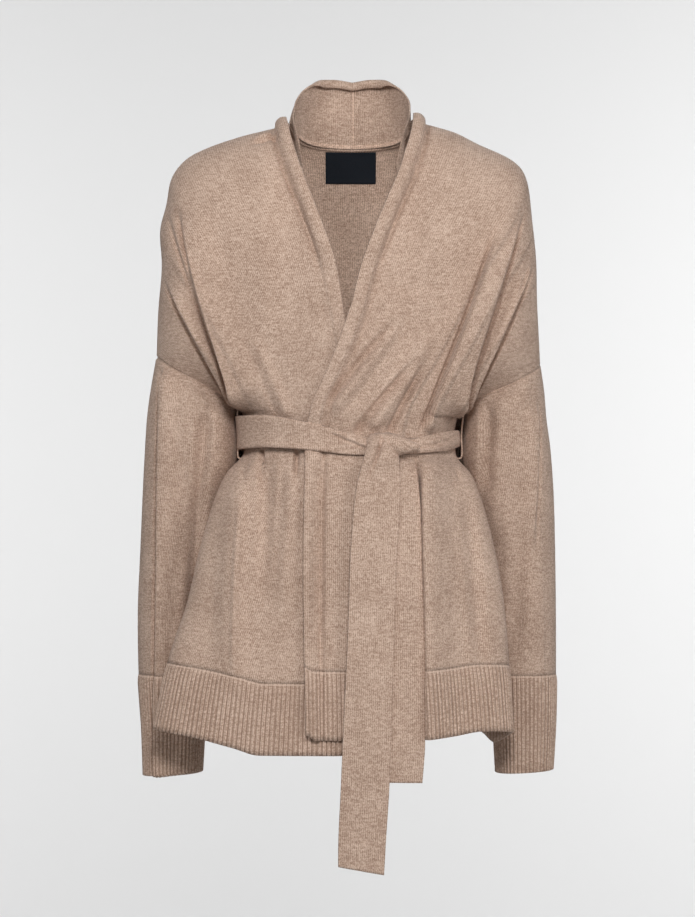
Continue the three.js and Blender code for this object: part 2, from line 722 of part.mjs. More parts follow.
// A ribbed band: every second column of its outside stands out, and the inside is plain
function ribbed(name, grid, normals, closed, material) {
  normals[0].forEach((n) => n.setZ(0).normalize());
  const outer = raise(grid, normals, (p, r, c) => (c % 2 ? RIB_RISE : 0));
  const inner = raise(grid, normals, () => -KNIT).map((line) => line.filter((_, c) => c % 2 === 0));
  return wall(name, outer, inner, closed, material);
}

const finish = (color, roughness) => new THREE.MeshStandardMaterial({ color, roughness, metalness: 0 });
const clothMaterial = () => finish(CLOTH_COLOUR, KNIT_ROUGHNESS);
const ribMaterial = () => finish(RIB_COLOUR, KNIT_ROUGHNESS);
const labelMaterial = () => finish(LABEL_COLOUR, TAPE_ROUGHNESS);

const reversed = (grid) => grid.map((line) => [...line].reverse());

// Folds, lap and rolled edge of a front, on a grid whose columns start at the free edge
function dressFront(side, grid) {
  const flip = side === "right";
  const seen = flip ? reversed(grid) : grid;
  let normals = gridNormals(seen, false);
  if (flip) normals = reversed(normals);
  const distance = grid.map((line) => {
    let sum = 0;
    return line.map((p, c) => (c ? (sum += p.distanceTo(line[c - 1])) : 0));
  });
  return raise(grid, normals, (p, r, c) => {
    const lap = side === "left" ? lapRise(p.x, p.z) : 0;
    const facingFront = p.z < WAIST_TOP ? fade(columnShares[c], FOLD_SIDE.from, FOLD_SIDE.to) : 1;
    return foldRise(FOLDS, p.x, p.z) * facingFront + lap + rollRise(distance[r][c], p.z);
  });
}

// Body panels
const panels = {
  left: dressFront("left", frontSurface("left", columnShares)),
  right: dressFront("right", frontSurface("right", columnShares)),
};
const backShares = Array.from({ length: BACK_COLUMNS + 1 }, (_, i) => i / BACK_COLUMNS);
const backBase = backSurface(backShares);
const backRise = (p, r) => (r ? foldRise(BACK_FOLDS, p.x, p.z) : 0);
panels.back = raise(backBase, gridNormals(backBase, false), backRise);

// One shared line at each seam: the shoulder, the armhole and the side seam
const normals = {
  left: gridNormals(panels.left, false),
  right: reversed(gridNormals(reversed(panels.right), false)),
  back: gridNormals(panels.back, false),
};
for (const side of ["left", "right"]) {
  const front = panels[side];
  const last = front[0].length - 1;
  const column = side === "left" ? 0 : BACK_COLUMNS;
  front.forEach((line, r) => {
    const meet = line[last].clone();
    if (r === 0 || r >= PANEL_ROWS) panels.back[r][column].copy(meet);
    if (r === 0 || r >= PANEL_ROWS) {
      const shared = normals[side][r][last].clone().add(normals.back[r][column]).normalize();
      normals[side][r][last].copy(shared);
      normals.back[r][column].copy(shared);
    }
  });
}
for (const key of ["left", "right", "back"]) {
  const alongNeck = (c) => key === "back" && Math.abs(panels.back[0][c].x - NECK_SHIFT) < NECK_REACH;
  normals[key][0].forEach((n, c) => (alongNeck(c) ? n.setZ(0) : n.setY(0)).normalize());
  normals[key][normals[key].length - 1].forEach((n) => n.setZ(0).normalize());
}

// A sleeve: its first ring is the armhole, then the rings of its table
function sleeveRings(side) {
  const sign = SIGN[side];
  const last = columnShares.length - 1;
  const front = panels[side].slice(0, PANEL_ROWS + 1).map((line) => line[last]);
  const backColumn = side === "left" ? 0 : BACK_COLUMNS;
  const back = panels.back.slice(0, PANEL_ROWS + 1).map((line) => line[backColumn]);
  const frontNormal = normals[side].slice(0, PANEL_ROWS + 1).map((line) => line[last]);
  const backNormal = normals.back.slice(0, PANEL_ROWS + 1).map((line) => line[backColumn]);
  const ring = [...front, ...back.slice(1, -1).reverse()].map((p) => p.clone());
  const ringNormal = [...frontNormal, ...backNormal.slice(1, -1).reverse()];
  const shares = ring.map((_, i) => {
    const half = i <= PANEL_ROWS ? i / PANEL_ROWS : (2 * PANEL_ROWS - i) / PANEL_ROWS;
    return { half: half ** SLEEVE_TURN, face: i <= PANEL_ROWS ? -1 : 1 };
  });
  const rings = [ring];
  for (const size of SLEEVE[side]) {
    const middle = (size.outer + size.inner) / 2;
    const reach = (size.outer - size.inner) / 2;
    const centre = (size.front + size.back) / 2;
    const depth = (size.back - size.front) / 2;
    rings.push(
      shares.map(({ half, face }) => {
        const angle = Math.PI * half;
        const x = middle + reach * power(Math.cos(angle), 2 / SLEEVE_ROUND);
        const y = centre + face * depth * power(Math.sin(angle), 2 / SLEEVE_ROUND);
        const across = (size.outer - x) / (size.outer - size.inner);
        return new THREE.Vector3(sign * x, y, size.outerUp + (size.innerUp - size.outerUp) * across);
      }),
    );
  }
  return { rings, ringNormal };
}

// Grids seen from outside run to the right: on the wearer's left sleeve the ring turns the other way
function sleeveParts(side) {
  const { rings, ringNormal } = sleeveRings(side);
  const turned = (line) => (side === "left" ? [line[0], ...line.slice(1).reverse()] : line);
  const grid = rings.map(turned);
  const facing = gridNormals(grid, true);
  facing[0] = turned(ringNormal);
  const seam = rings.length - CUFF_ROWS;
  facing[seam].forEach((n) => n.setZ(0).normalize());
  const upper = grid.slice(0, seam + 1).map((line) => line.map((p) => p.clone()));
  upper[0].forEach((p, i) => {
    const fromUnderarm = Math.abs(i - PANEL_ROWS) / UNDERARM.points;
    if (fromUnderarm < 1) p.lerp(upper[1][i], UNDERARM.ease * (1 - fromUnderarm));
  });
  return { upper, upperNormals: facing.slice(0, seam + 1), cuff: grid.slice(seam) };
}

// Spreads a band evenly into ribs, keeping its rows
function intoRibs(grid, closed) {
  const lines = grid.map((line) => along(closed ? [...line, line[0]] : line));
  const ribs = Math.round(lines[0].total / RIB_PITCH);
  const count = closed ? ribs * 2 : ribs * 2 + 1;
  return lines.map((line) => Array.from({ length: count }, (_, i) => line.at(i / (ribs * 2))));
}

// The ribbed band below a panel: from the panel's last row down to the hem
function hemBand(side, shares) {
  const levels = [HEM_LEVEL + HEM_RIB, HEM_LEVEL + HEM_RIB / 2, HEM_LEVEL];
  const ring = (level) => (side === "back" ? backRing(level) : frontRing(level, side));
  const grid = levels.map((level) => skirtRow(ring(level), level, hemUp[side], shares));
  if (side === "back")
    return raise(grid, gridNormals(grid, false), (p) => foldRise(BACK_FOLDS, p.x, p.z));
  return dressFront(side, grid);
}

function belt() {
  const topAt = track(BELT, "x", "top");
  const bottomAt = track(BELT, "x", "bottom");
  const places = Array.from({ length: BELT_COLUMNS }, (_, c) => (2 * c) / BELT_COLUMNS);
  const edges = places.map((place) => {
    const p = beltPoint(place, BELT_LEVEL);
    const behind = ease(p.y, BELT_BACK.fromY, BELT_BACK.toY);
    return {
      top: THREE.MathUtils.lerp(topAt(p.x), BELT_BACK.top, behind),
      bottom: THREE.MathUtils.lerp(bottomAt(p.x), BELT_BACK.bottom, behind),
    };
  });
  const grid = [];
  for (let row = 0; row <= BELT_ROWS; row += 1)
    grid.push(
      places.map((place, c) => {
        const up = THREE.MathUtils.lerp(edges[c].top, edges[c].bottom, row / BELT_ROWS);
        const p = beltPoint(place, Math.min(up, WAIST_TOP));
        return new THREE.Vector3(p.x, p.y, up);
      }),
    );
  const facing = gridNormals(grid, true);
  const bulge = (r) => BELT_BULGE * Math.sin((Math.PI * r) / BELT_ROWS);
  const lap = (p) => (p.y < 0 ? lapRise(p.x, p.z) : 0);
  const outer = raise(grid, facing, (p, r) => BELT_CLEAR + lap(p) + BELT_KNIT + bulge(r));
  return sheet("belt_waist", outer, facing, BELT_KNIT, true, clothMaterial());
}

// A point of the waist ring: front from the right seam to the left one, then the back on round
function beltPoint(place, level) {
  const right = halfRing(level, "right");
  const left = halfRing(level, "left");
  const front = [...right.slice(0, SEAM_INDEX + 1).reverse(), ...left.slice(1, SEAM_INDEX + 1)];
  return place < 1 ? along(front).at(place) : backRing(level).at(place - 1);
}

// A hanging end of the belt, lying on the front of the skirt
function hangingEnd(name, rows) {
  const grid = rows.map((row) =>
    Array.from({ length: END_COLUMNS + 1 }, (_, c) => {
      const x = row.from + ((row.to - row.from) * c) / END_COLUMNS;
      return new THREE.Vector3(x, frontDepth(x, row.up) - row.lift, row.up);
    }),
  );
  return sheet(name, grid, gridNormals(grid, false), BELT_KNIT, false, clothMaterial());
}

function knot() {
  const geometry = new THREE.SphereGeometry(1, KNOT_MESH.around, KNOT_MESH.rows);
  geometry.scale(KNOT.halfWidth, KNOT.halfDepth, KNOT.halfHeight);
  const mesh = new THREE.Mesh(geometry, clothMaterial());
  mesh.rotation.y = THREE.MathUtils.degToRad(KNOT.turn);
  mesh.position.set(KNOT.x, KNOT.y, KNOT.up);
  mesh.name = "belt_knot";
  return mesh;
}

// A thin belt loop that stands out from the side of the waist round the belt
function beltLoop(side) {
  const sign = SIGN[side];
  const body = (up) => {
    const ring = halfRing(THREE.MathUtils.clamp(up, HEM_LEVEL, WAIST_TOP), side);
    const i = ring.findIndex((p) => p.y > LOOP.y);
    const share = (LOOP.y - ring[i - 1].y) / (ring[i].y - ring[i - 1].y);
    return Math.abs(THREE.MathUtils.lerp(ring[i - 1].x, ring[i].x, share));
  };
  const middle = (LOOP.top + LOOP.bottom) / 2;
  const points = [
    { out: body(LOOP.top) + LOOP_ROOT.top, up: LOOP.top + LOOP_ROOT.tuck },
    { out: body(LOOP.top) + LOOP.stand, up: LOOP.top },
    { out: body(middle) + LOOP.stand + LOOP.bow, up: middle },
    { out: body(LOOP.bottom) + LOOP.stand, up: LOOP.bottom },
    { out: body(LOOP.bottom) + LOOP_ROOT.bottom, up: LOOP.bottom - LOOP_ROOT.tuck },
  ].map((p) => new THREE.Vector3(sign * p.out, LOOP.y, p.up));
  const section = new THREE.Shape();
  section.absarc(0, 0, LOOP.cord, 0, 2 * Math.PI);
  const geometry = new THREE.ExtrudeGeometry(section, {
    steps: LOOP_MESH.steps,
    curveSegments: LOOP_MESH.sides,
    bevelEnabled: false,
    extrudePath: new THREE.CatmullRomCurve3(points),
  });
  const mesh = new THREE.Mesh(geometry, clothMaterial());
  mesh.name = `belt_loop_${side}`;
  return mesh;
}

// One half of the collar: the stand, then a rim rolled towards the inside
function collar(side) {
  const grid = [];
  const shares = Array.from({ length: COLLAR_COLUMNS + 1 }, (_, i) => i / COLLAR_COLUMNS);
  const centre = new THREE.Vector3(NECK_SHIFT, 0, 0);
  const inward = (p) => centre.clone().sub(p).setZ(0).normalize();
  for (let row = 0; row <= COLLAR_ROWS; row += 1) {
    const rise = row / COLLAR_ROWS;
    grid.unshift(
      shares.map((share) => {
        const p = collarFoot(share, side).lerp(collarPoint(COLLAR_RIM, share, side), rise);
        return p.addScaledVector(inward(p), -COLLAR_BULGE * Math.sin(Math.PI * rise) * (1 - share));
      }),
    );
  }
  for (let step = 1; step <= RIM_ROLL.steps; step += 1) {
    const turn = THREE.MathUtils.degToRad((RIM_ROLL.turn * step) / RIM_ROLL.steps);
    grid.unshift(
      shares.map((share) => {
        const rim = collarPoint(COLLAR_RIM, share, side);
        const radius = RIM_ROLL.radius * (1 - RIM_ROLL.thinner * ease(share, RIM_ROLL.thinFrom, 1));
        const p = rim.clone().addScaledVector(inward(rim), radius * (1 - Math.cos(turn)));
        return p.setZ(rim.z + radius * Math.sin(turn));
      }),
    );
  }
  const facing = side === "left" ? reversed(grid) : grid;
  trim(facing, side === "left" ? ["bottom", "end"] : ["bottom", "start"]);
  facing[facing.length - 1].forEach((p) => p.setZ(p.z + 2 * SEAM_GAP));
  const outward = gridNormals(facing, false);
  outward.forEach((line) => line[side === "left" ? line.length - 1 : 0].setX(0).normalize());
  return sheet(`collar_${side}`, facing, outward, KNIT, false, clothMaterial());
}

// Bare neck label, hung from the back neck seam
function label() {
  const shape = new THREE.Shape();
  const [w, h, r] = [LABEL.width / 2, LABEL.height / 2, LABEL.corner];
  shape.moveTo(-w + r, -h).lineTo(w - r, -h).absarc(w - r, -h + r, r, -Math.PI / 2, 0);
  shape.lineTo(w, h - r).absarc(w - r, h - r, r, 0, Math.PI / 2);
  shape.lineTo(-w + r, h).absarc(-w + r, h - r, r, Math.PI / 2, Math.PI);
  shape.lineTo(-w, -h + r).absarc(-w + r, -h + r, r, Math.PI, 1.5 * Math.PI);
  const geometry = new THREE.ExtrudeGeometry(shape, {
    depth: LABEL_KNIT,
    bevelEnabled: false,
    curveSegments: LABEL.arc,
  });
  const mesh = new THREE.Mesh(geometry, labelMaterial());
  mesh.rotation.x = Math.PI / 2;
  mesh.position.set(LABEL.x, LABEL.y, LABEL.top - LABEL.height / 2);
  mesh.name = "neck_label";
  return mesh;
}

const cardigan = new THREE.Group();
for (const side of ["right", "left"]) {
  const inOrder = side === "right" ? reversed : (grid) => grid;
  const copy = panels[side].map((line) => line.map((p) => p.clone()));
  const ends = side === "right" ? ["top", "bottom", "start"] : ["top", "bottom", "end"];
  const grid = trim(inOrder(copy), ends);
  cardigan.add(sheet(`front_${side}`, grid, inOrder(normals[side]), KNIT, false, clothMaterial()));

  const hemEnds = ends.filter((edge) => edge !== "bottom");
  const band = trim(intoRibs(inOrder(hemBand(side, columnShares)), false), hemEnds);
  cardigan.add(ribbed(`hem_${side}`, band, gridNormals(band, false), false, ribMaterial()));

  const { upper, upperNormals, cuff } = sleeveParts(side);
  const sleeve = trim(upper, ["top", "bottom"]);
  cardigan.add(sheet(`sleeve_${side}`, sleeve, upperNormals, KNIT, true, clothMaterial()));
  const ribs = trim(intoRibs([cuff[0], cuff[1], cuff[cuff.length - 1]], true), ["top"]);
  cardigan.add(ribbed(`cuff_${side}`, ribs, gridNormals(ribs, true), true, ribMaterial()));

  cardigan.add(collar(side));
  cardigan.add(beltLoop(side));
}
const backCopy = panels.back.map((line) => line.map((p) => p.clone()));
const backGrid = trim(backCopy, ["top", "bottom", "start", "end"]);
cardigan.add(sheet("back", backGrid, normals.back, KNIT, false, clothMaterial()));
const backBand = trim(intoRibs(hemBand("back", backShares), false), ["top", "start", "end"]);
cardigan.add(ribbed("hem_back", backBand, gridNormals(backBand, false), false, ribMaterial()));
cardigan.add(belt());
cardigan.add(knot());
cardigan.add(hangingEnd("belt_end_long", LONG_END));
cardigan.add(hangingEnd("belt_end_short", SHORT_END));
cardigan.add(label());

export default cardigan;
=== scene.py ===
"""Fine-knit wrap cardigan with a shawl collar and a tied belt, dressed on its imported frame.

Sizes in the tables are millimetres from the base of the neck: +X the wearer's left, -Y the front, +Z up.
"""

import math

import bpy
import numpy as np
from bpy.props import FloatProperty, FloatVectorProperty, IntProperty, PointerProperty
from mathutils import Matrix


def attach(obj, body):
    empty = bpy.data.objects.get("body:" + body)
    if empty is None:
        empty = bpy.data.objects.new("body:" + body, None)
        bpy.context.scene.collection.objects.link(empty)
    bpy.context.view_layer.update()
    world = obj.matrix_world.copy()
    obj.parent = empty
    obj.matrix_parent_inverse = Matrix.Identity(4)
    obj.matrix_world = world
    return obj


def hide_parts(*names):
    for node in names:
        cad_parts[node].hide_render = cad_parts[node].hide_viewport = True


bl_info = {
    "name": "Belted Wrap Cardigan",
    "version": (1, 0, 0),
    "blender": (4, 5, 0),
    "location": "View3D > Sidebar > Cardigan",
    "description": "Knits a belted wrap cardigan with a shawl collar on its packed frame",
    "category": "Object",
}

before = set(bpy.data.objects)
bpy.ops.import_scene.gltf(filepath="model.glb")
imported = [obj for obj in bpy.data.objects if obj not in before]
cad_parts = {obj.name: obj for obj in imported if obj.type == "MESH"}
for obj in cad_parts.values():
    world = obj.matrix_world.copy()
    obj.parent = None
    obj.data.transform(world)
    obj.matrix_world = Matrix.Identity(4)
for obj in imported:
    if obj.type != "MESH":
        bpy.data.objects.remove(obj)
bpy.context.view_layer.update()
MM = 0.001

# Heights of the waist and the hem, and the height of the ribbed hem
WAIST_TOP = -316
HEM_LEVEL = -680
HEM_RIB = 76

# Points of a half ring up to its corner and its side seam, how square rings are, and smoothing passes
CORNER_INDEX = 20
SEAM_INDEX = 28
RING_ROUND = 2.3
RING_PASSES = 4
SLEEVE_ROUND = 2.4
SLEEVE_TURN = 1.35

# Depth of the armhole: its top, and how far it bows forwards and backwards from a share of the width on
ARMHOLE_TOP_Y = 15
ARM_FRONT = 64
ARM_BACK = 62
ARM_FROM = 0.35

# Fullness of the back, and the widths between which the chest takes over the waist's own depth
BACK_FULLNESS = 7
CHEST_FROM, CHEST_TO = 45, 100

# Neck: its shift off the middle, its half width, and steps along the top edge of the back
NECK_SHIFT = 3
NECK_HALF = 66
SHOULDER_STEPS = 30
NECK_STEPS = 12
SOFT = {"passes": 160, "fade_in": 22, "fade_out": 12}

# Rows and columns of the panels beside the ones in the settings
SKIRT_ROWS = 60
RIB = {"rows": 12, "columns": 6, "flatness": 0.8, "start_rows": 1.5}
BACK_MORE = 61
EDGE_COLUMNS = 19
EDGE_SHARE = 0.1
EDGE_CROWDING = 1.2
NECK_ROWS = 41
HOLD_ROWS = 9
UNDER_BELT = 7


def table(columns, text):
    """A table with named columns, from numbers that are parted by spaces, commas or new lines."""
    names = columns.split()
    values = np.array(text.replace(",", " ").split(), float).reshape(-1, len(names))
    return {name: values[:, i] for i, name in enumerate(names)}


# Shoulder lines as seen from the front, from the neck to the top of the armhole
SHOULDER = {
    "right": table("out up", """
        69 13, 80 8, 96 4, 127 -4, 162 -16, 186 -29, 202 -50, 208 -80, 215 -110, 213 -150,
        217 -200, 219 -250
    """),
    "left": table("out up", """
        69 17, 80 13, 97 8, 120 1, 144 -11, 184 -30, 200 -52, 206 -97, 210 -140, 211 -190,
        215 -257
    """),
}

# Armhole seams as seen from the front, down to the underarm
ARMHOLE = {
    "right": table("out up", """
        219 -250, 213 -255, 197 -266, 170 -280, 146 -296, 122 -315
    """),
    "left": table("out up", """
        215 -257, 210 -266, 186 -280, 159 -292, 141 -302, 123 -315
    """),
}

# Free edges of the fronts; the left front laps over the right one
FREE_EDGE = {
    "right": table("up x", """
        13 -69, 0 -66, -12 -63.5, -26 -59, -41 -54, -63 -46, -103 -31, -150 -16, -217 -5, -265 4,
        -316 12, -360 20, -500 42, -690 60
    """),
    "left": table("up x", """
        17 69, 4 68, -10 65, -28 59, -46 53.5, -76 41, -119 24, -157 11, -198 1, -232 -10,
        -268 -24, -316 -43, -360 -48, -500 -51, -690 -48
    """),
}

# Level rings of the waist and skirt: front corners, side seam behind them, front and back
RINGS = table("up right left cornerY seam seamY front back", """
    -316 122 123 0 120 12 -106 100
    -340 118 119 -2 116 12 -101 97
    -361 120 120 -5 117 10 -103 98
    -386 140 138 -20 126 4 -110 103
    -415 153 149 -32 129 -4 -114 106
    -470 169 163 -44 132 -10 -118 109
    -535 184 174 -52 135 -15 -121 111
    -600 205 179 -58 138 -19 -124 113
    -680 221 183 -62 141 -23 -127 115
""")

# Height of the hem along each panel
HEM = {
    "right": table("share up", """
        0 -684, 0.2 -692, 0.41 -692, 0.49 -684, 0.63 -672, 0.77 -667, 1 -668
    """),
    "left": table("share up", """
        0 -668, 0.04 -675, 0.35 -675, 0.52 -671, 0.62 -667, 0.8 -671, 0.86 -679, 0.9 -684,
        0.95 -675, 1 -668
    """),
    "back": table("share up", "0 -668, 0.5 -674, 1 -668"),
}

# Folds of the fronts: a crest, or with a negative rise a trough, from (x, up) to (toX, toUp), its bow,
# its rise, its slopes towards the middle and towards the sleeve, and the shares where it starts and ends
FOLDS = table("x up toX toUp bow rise middle sleeve start end", """
    -188 -84 -116 -316 10 12 40 3.6 0.2 0.12
    -204 -80 -119 -314 4 7 9 3.6 0.25 0.12
    -207 -160 -121 -316 4 13 20 3.6 0.3 0.12
    168 -104 78 -339 5 14 3.8 34 0.3 0.05
    192 -86 114 -326 2 14 26 3.6 0.2 0.1
    204 -142 120 -322 4 13 18 3.6 0.3 0.12
    202 -150 186 -196 0 3 3 3 0.3 0.3
    -116 -222 -72 -322 2 5 18 9 0.35 0.05
    96 -214 22 -334 4 7 22 13 0.35 0.05
    66 -190 -22 -318 3 7 20 12 0.35 0.1
    62 -204 -28 -312 -3 -10 8 9 0.4 0.15
    80 -250 3 -340 -2 -10 5.5 11 0.45 0.04
    86 -256 40 -340 -2 -10 4.5 9 0.45 0.04
    -118 -226 -76 -322 0 -4 9 8 0.35 0.06
    -82 -6 -114 -17 0 -6 4 5 0.05 0.5
    -84 0 -112 -8 0 3 6 5 0.1 0.5
    -122 -366 -128 -640 4 8 20 28 0.2 0.3
    -119 -400 -127 -620 3 3 6 6 0.2 0.2
    -62 -366 -76 -560 0 5 16 14 0.15 0.4
    -92 -362 -98 -560 0 -7 14 14 0.08 0.6
    -34 -364 -38 -660 0 -6 12 12 0.1 0.5
    -116 -356 -118 -394 0 -8 4 5 0.05 0.6
    -98 -356 -99 -396 0 -8 4 5 0.05 0.6
    -59 -356 -60 -398 0 -8 5 5 0.05 0.6
    113 -356 123 -394 0 -7 4 4 0.05 0.5
    78 -364 86 -716 0 14 4 46 0.05 0.02
    132 -380 150 -640 0 -6 16 12 0.2 0.4
    0 -366 2 -660 0 -5 14 14 0.1 0.4
""")
BACK_FOLDS = table("x up toX toUp bow rise middle sleeve start end", """
    -189 -80 -98 -318 8 9 34 5 0.3 0.06
    189 -84 100 -318 8 9 34 5 0.3 0.06
    -206 -120 -118 -316 4 7 20 5 0.3 0.06
    206 -124 119 -316 4 7 20 5 0.3 0.06
    -140 -196 -60 -320 3 4 20 12 0.4 0.06
    134 -206 52 -320 3 4 20 12 0.4 0.06
    -60 -366 -72 -690 4 5 26 26 0.15 0.2
    64 -366 70 -690 4 5 26 26 0.15 0.2
    -22 -364 -30 -560 0 -3 12 12 0.1 0.5
    28 -364 30 -520 0 -3 12 12 0.1 0.5
    -92 -362 -96 -420 0 -3.5 5 6 0.1 0.6
    90 -362 95 -430 0 -3.5 5 6 0.1 0.6
""")

# Direction in which the folds push the cloth, and shares of the skirt's fronts where they fade out
FOLD_PUSH = (0.3, 1, 0.3)
SIDE_FADE = (0.8, 0.6)

# Groove beside a sharp fold, rolled neckline edge, and the rise of the left front over the right one
GROOVE = {"below": 6, "depth": 0.45, "width": 1.7}
ROLL = {
    "width": 17, "lead": 3, "rise": 9.5, "dip": 5, "dip_width": 7, "over": 0.5,
    "fade_from": -118, "fade_to": -175, "flatness": 0.4,
}
LAP = {"rise": 4, "from_x": 78, "to_x": 116, "from_up": -196, "to_up": -176}

# Creases of the sleeves as seen from the front: the pressed outer edge and soft troughs
SLEEVE_FOLDS = table("x up toX toUp bow rise middle sleeve start end", """
    -207 -262 -217 -729 3 8 22 4 0.05 0.01
    -156 -300 -172 -470 2 -10 10 16 0.25 0.4
    -166 -400 -184 -620 -2 -9 10 18 0.35 0.4
    -190 -330 -186 -520 -3 -4 14 14 0.4 0.4
    207 -300 204 -480 2 6 18 4 0.15 0.4
    152 -296 147 -430 2 -10 10 16 0.25 0.4
    190 -420 182 -620 3 -4 14 14 0.4 0.4
    -200 -560 -190 -660 2 -3 12 12 0.4 0.4
""")

# Sleeve rings: heights at the outer and the inner side, places across, front and back
SLEEVE = {
    "right": table("outerUp innerUp outer inner front back", """
        -284 -327 225 129 -53 76
        -318 -345 230 126 -50 81
        -358 -372 233 126 -44 85
        -408 -414 236 138 -33 88
        -470 -471 239 152 -22 88
        -540 -540 242 159 -16 84
        -612 -612 241 163 -14 79
        -672 -670 237 166 -12 76
        -727 -723 235 169 -10 74
    """),
    "left": table("outerUp innerUp outer inner front back", """
        -290 -327 220 129 -53 76
        -322 -345 223 126 -50 81
        -358 -372 228 126 -44 85
        -408 -414 232 138 -33 88
        -470 -471 234 152 -22 88
        -540 -540 235 159 -16 84
        -612 -612 235 162 -14 79
        -668 -668 234 164 -12 76
        -720 -724 231 167 -10 74
    """),
}

# Rings that belong to the cuff, rows between rings, how far forward a sleeve must face to be creased,
# and the dip at the armhole seam
CUFF_RINGS = 3
RING_ROWS = 14
SLEEVE_SEEN = (-0.1, 0.4)
ARMHOLE_SEAM = {"dip": 1.6, "rows": 3, "plain_rows": 6}

# How far the sleeves' backs are tucked behind the waist, and where that begins and ends
TUCK = {"depth": 19, "across": (175, 140), "back": (24, 60), "low": (-470, -400), "high": (-296, -318)}

# Neckline of the back from its centre to the shoulder seam
NECK_LINE = table("share out y up", """
    0 0 63 -12, 0.2 25 61 -11, 0.35 44 52 -9, 0.48 58 38 -5, 0.6 66 20 2, 0.66 67 10 9
""")

# Share of the collar that lies on the back's neckline
NECK_SHARE = NECK_LINE["share"][-1]

# Foot of the collar in front of the shoulder seam, inside and below the point where the seam meets the neck
COLLAR_FOOT = table("share inward y down", """
    0.66 0 0 0, 0.74 3 -8 4, 0.82 6 -24 16, 0.91 8 -46 38, 1 14 -71 76
""")

# Rim of the collar from the centre back to its end behind the neckline
COLLAR_RIM = table("share out y up", """
    0 0 67 60, 0.2 24 65 63, 0.35 39 57 62, 0.48 50 42 56, 0.6 60 26 47, 0.72 66 8 33,
    0.82 66.5 -12 18, 0.92 61 -36 -2, 1 52.5 -64 -44
""")

# The collar's grid and hollow, its rolled rim, and the ridge along its seams
COLLAR = {"rows": 29, "roll_rows": 18, "near": 0.06, "near_columns": 8, "columns": 90, "hollow": 2}
RIM_ROLL = {"radius": 5.6, "turn": 235, "thinner": 0.6, "thin_from": 0.3, "open_turn": 60, "open_at": 0.62}
SEAM_RIDGE = {"rise": 1.8, "width": 2.4, "rows": 2.5, "from": 0.6, "full": 0.5}

# Belt edges across the front, and at the back
BELT = table("x top bottom", """
    -124 -318 -359, -90 -317.5 -356, -43 -325.5 -359, 0 -339 -364, 22 -346 -365, 60 -347 -364,
    95 -338 -361, 124 -334 -352
""")
BELT_BACK = {"top": -325, "bottom": -363, "from": 0, "full": 50}
BELT_FOLDS = table("x up toX toUp bow rise middle sleeve start end", """
    -20 -336 22 -357 1 3.4 9 2 0.15 0.02
    -112 -350 0 -361 1 1.2 6 6 0.3 0.3
    66 -361 118 -344 -3 2.5 10 3 0.1 0.1
    78 -344 108 -338 0 -1.5 6 6 0.3 0.3
""")

# Grid of the belt's turn, its gap to the cloth and its swell; lowest and step place the rings it follows
BELT_GRID = {"columns": 360, "rows": 17, "middle": -340, "lowest": -372, "step": 4.0}
BELT_CLEAR = 2.2
BELT_SWELL = 1.6

# Hanging ends of the belt: edges across, and distance in front of the body
LONG_END = table("up from to lift", """
    -338.5 25 45 8.6, -340 23 48 18, -344.5 20 50 25, -354 18 51 27.6, -366 15 54 27,
    -384 10 55 18, -405 6 55 14, -434 3 54 12.8, -478 0 51 12.8, -544 -2 49 12.8, -634 -6 46 13.6,
    -722 -10 43 13.6, -798 -13 38 13.6, -811.5 -13 37 13.6
""")
SHORT_END = table("up from to lift", """
    -368 44 71 10.4, -384 36 74 10, -434 27 78 8.4, -478 26 79 8.4, -598 29 82 9.2, -675 29 82 9.2,
    -720 27 79 9.2
""")

# Grid of the ends, their slanted cut, rounded edges and the crease below the knot
END_GRID = {"rows": 150, "columns": 41, "least_step": 4}
TAIL = {
    "slant": {"long": 9, "short": 1}, "slant_over": 40, "tight_from": -352, "tight_to": -400,
    "round": 10, "edge": 0.8, "edge_power": 2.5,
    "crease": 8.5, "crease_at": 0.1, "crease_width": 0.12, "lean": 0.5, "lean_over": 40,
}

# The knot: a rounded wedge, and the loops at the side seams
KNOT = {
    "x": 47, "y": -112, "up": -352, "half_width": 28, "half_depth": 8.2, "half_height": 10.5, "turn": 5,
    "narrowing": 0.55, "twist": 1.6, "turns": 3, "skew": 4, "pole": 0.03,
    "rows": 41, "columns": 72, "wall": 2.0,
}
LOOP = {"cord": 0.9, "top": -315, "bottom": -364, "root": 1.5, "stand": 6.8, "bow": 2, "past": 3, "y": -24}

# The label, its grid, and the rows of the back that it may lie on
LABEL = {
    "width": 58, "height": 35, "x": 1, "top": -14.5, "thickness": 0.8, "gap": 0.4,
    "columns": 41, "rows": 25, "back_rows": 60,
}

# Sides of the wearer, with their sign across and the side opposite
SIGN = {"right": -1, "left": 1}
OTHER = {"right": "left", "left": "right"}

# Sizes in millimetres, across and along, of the spots and stitches in the yarn
SPOTS = {
    "fleck": (1.0, 1.9), "streak": (6.5, 1.7), "cloud": (34, 44),
    "stitch": (2.2, 1.9), "twill": (0.5, 0.35),
}

# What counts in the yarn's tone and in the height of its surface, and the tones where its colours meet
TONE = {"fleck": 0.56, "streak": 0.26, "cloud": 0.1, "even": 0.04, "wale": 0.24, "stitch": 0.12}
RELIEF = {"stitch": 0.7, "wale": 0.8, "fleck": 0.6, "depth": 0.32}
STITCH_SLANT = 1.4
BROWN_TO_YARN, YARN_TO_PALE = (0.34, 0.68), (0.68, 0.98)

# Painted shade that darkens the valleys between the ribs, and a light seam line, in millimetres, at the top
# of each band
RIB_MARKS = {"painted_valley_shade": 0.2, "shade": 0.95, "seam": 3.0, "soft": (0.5, 1.2), "strength": 0.7}

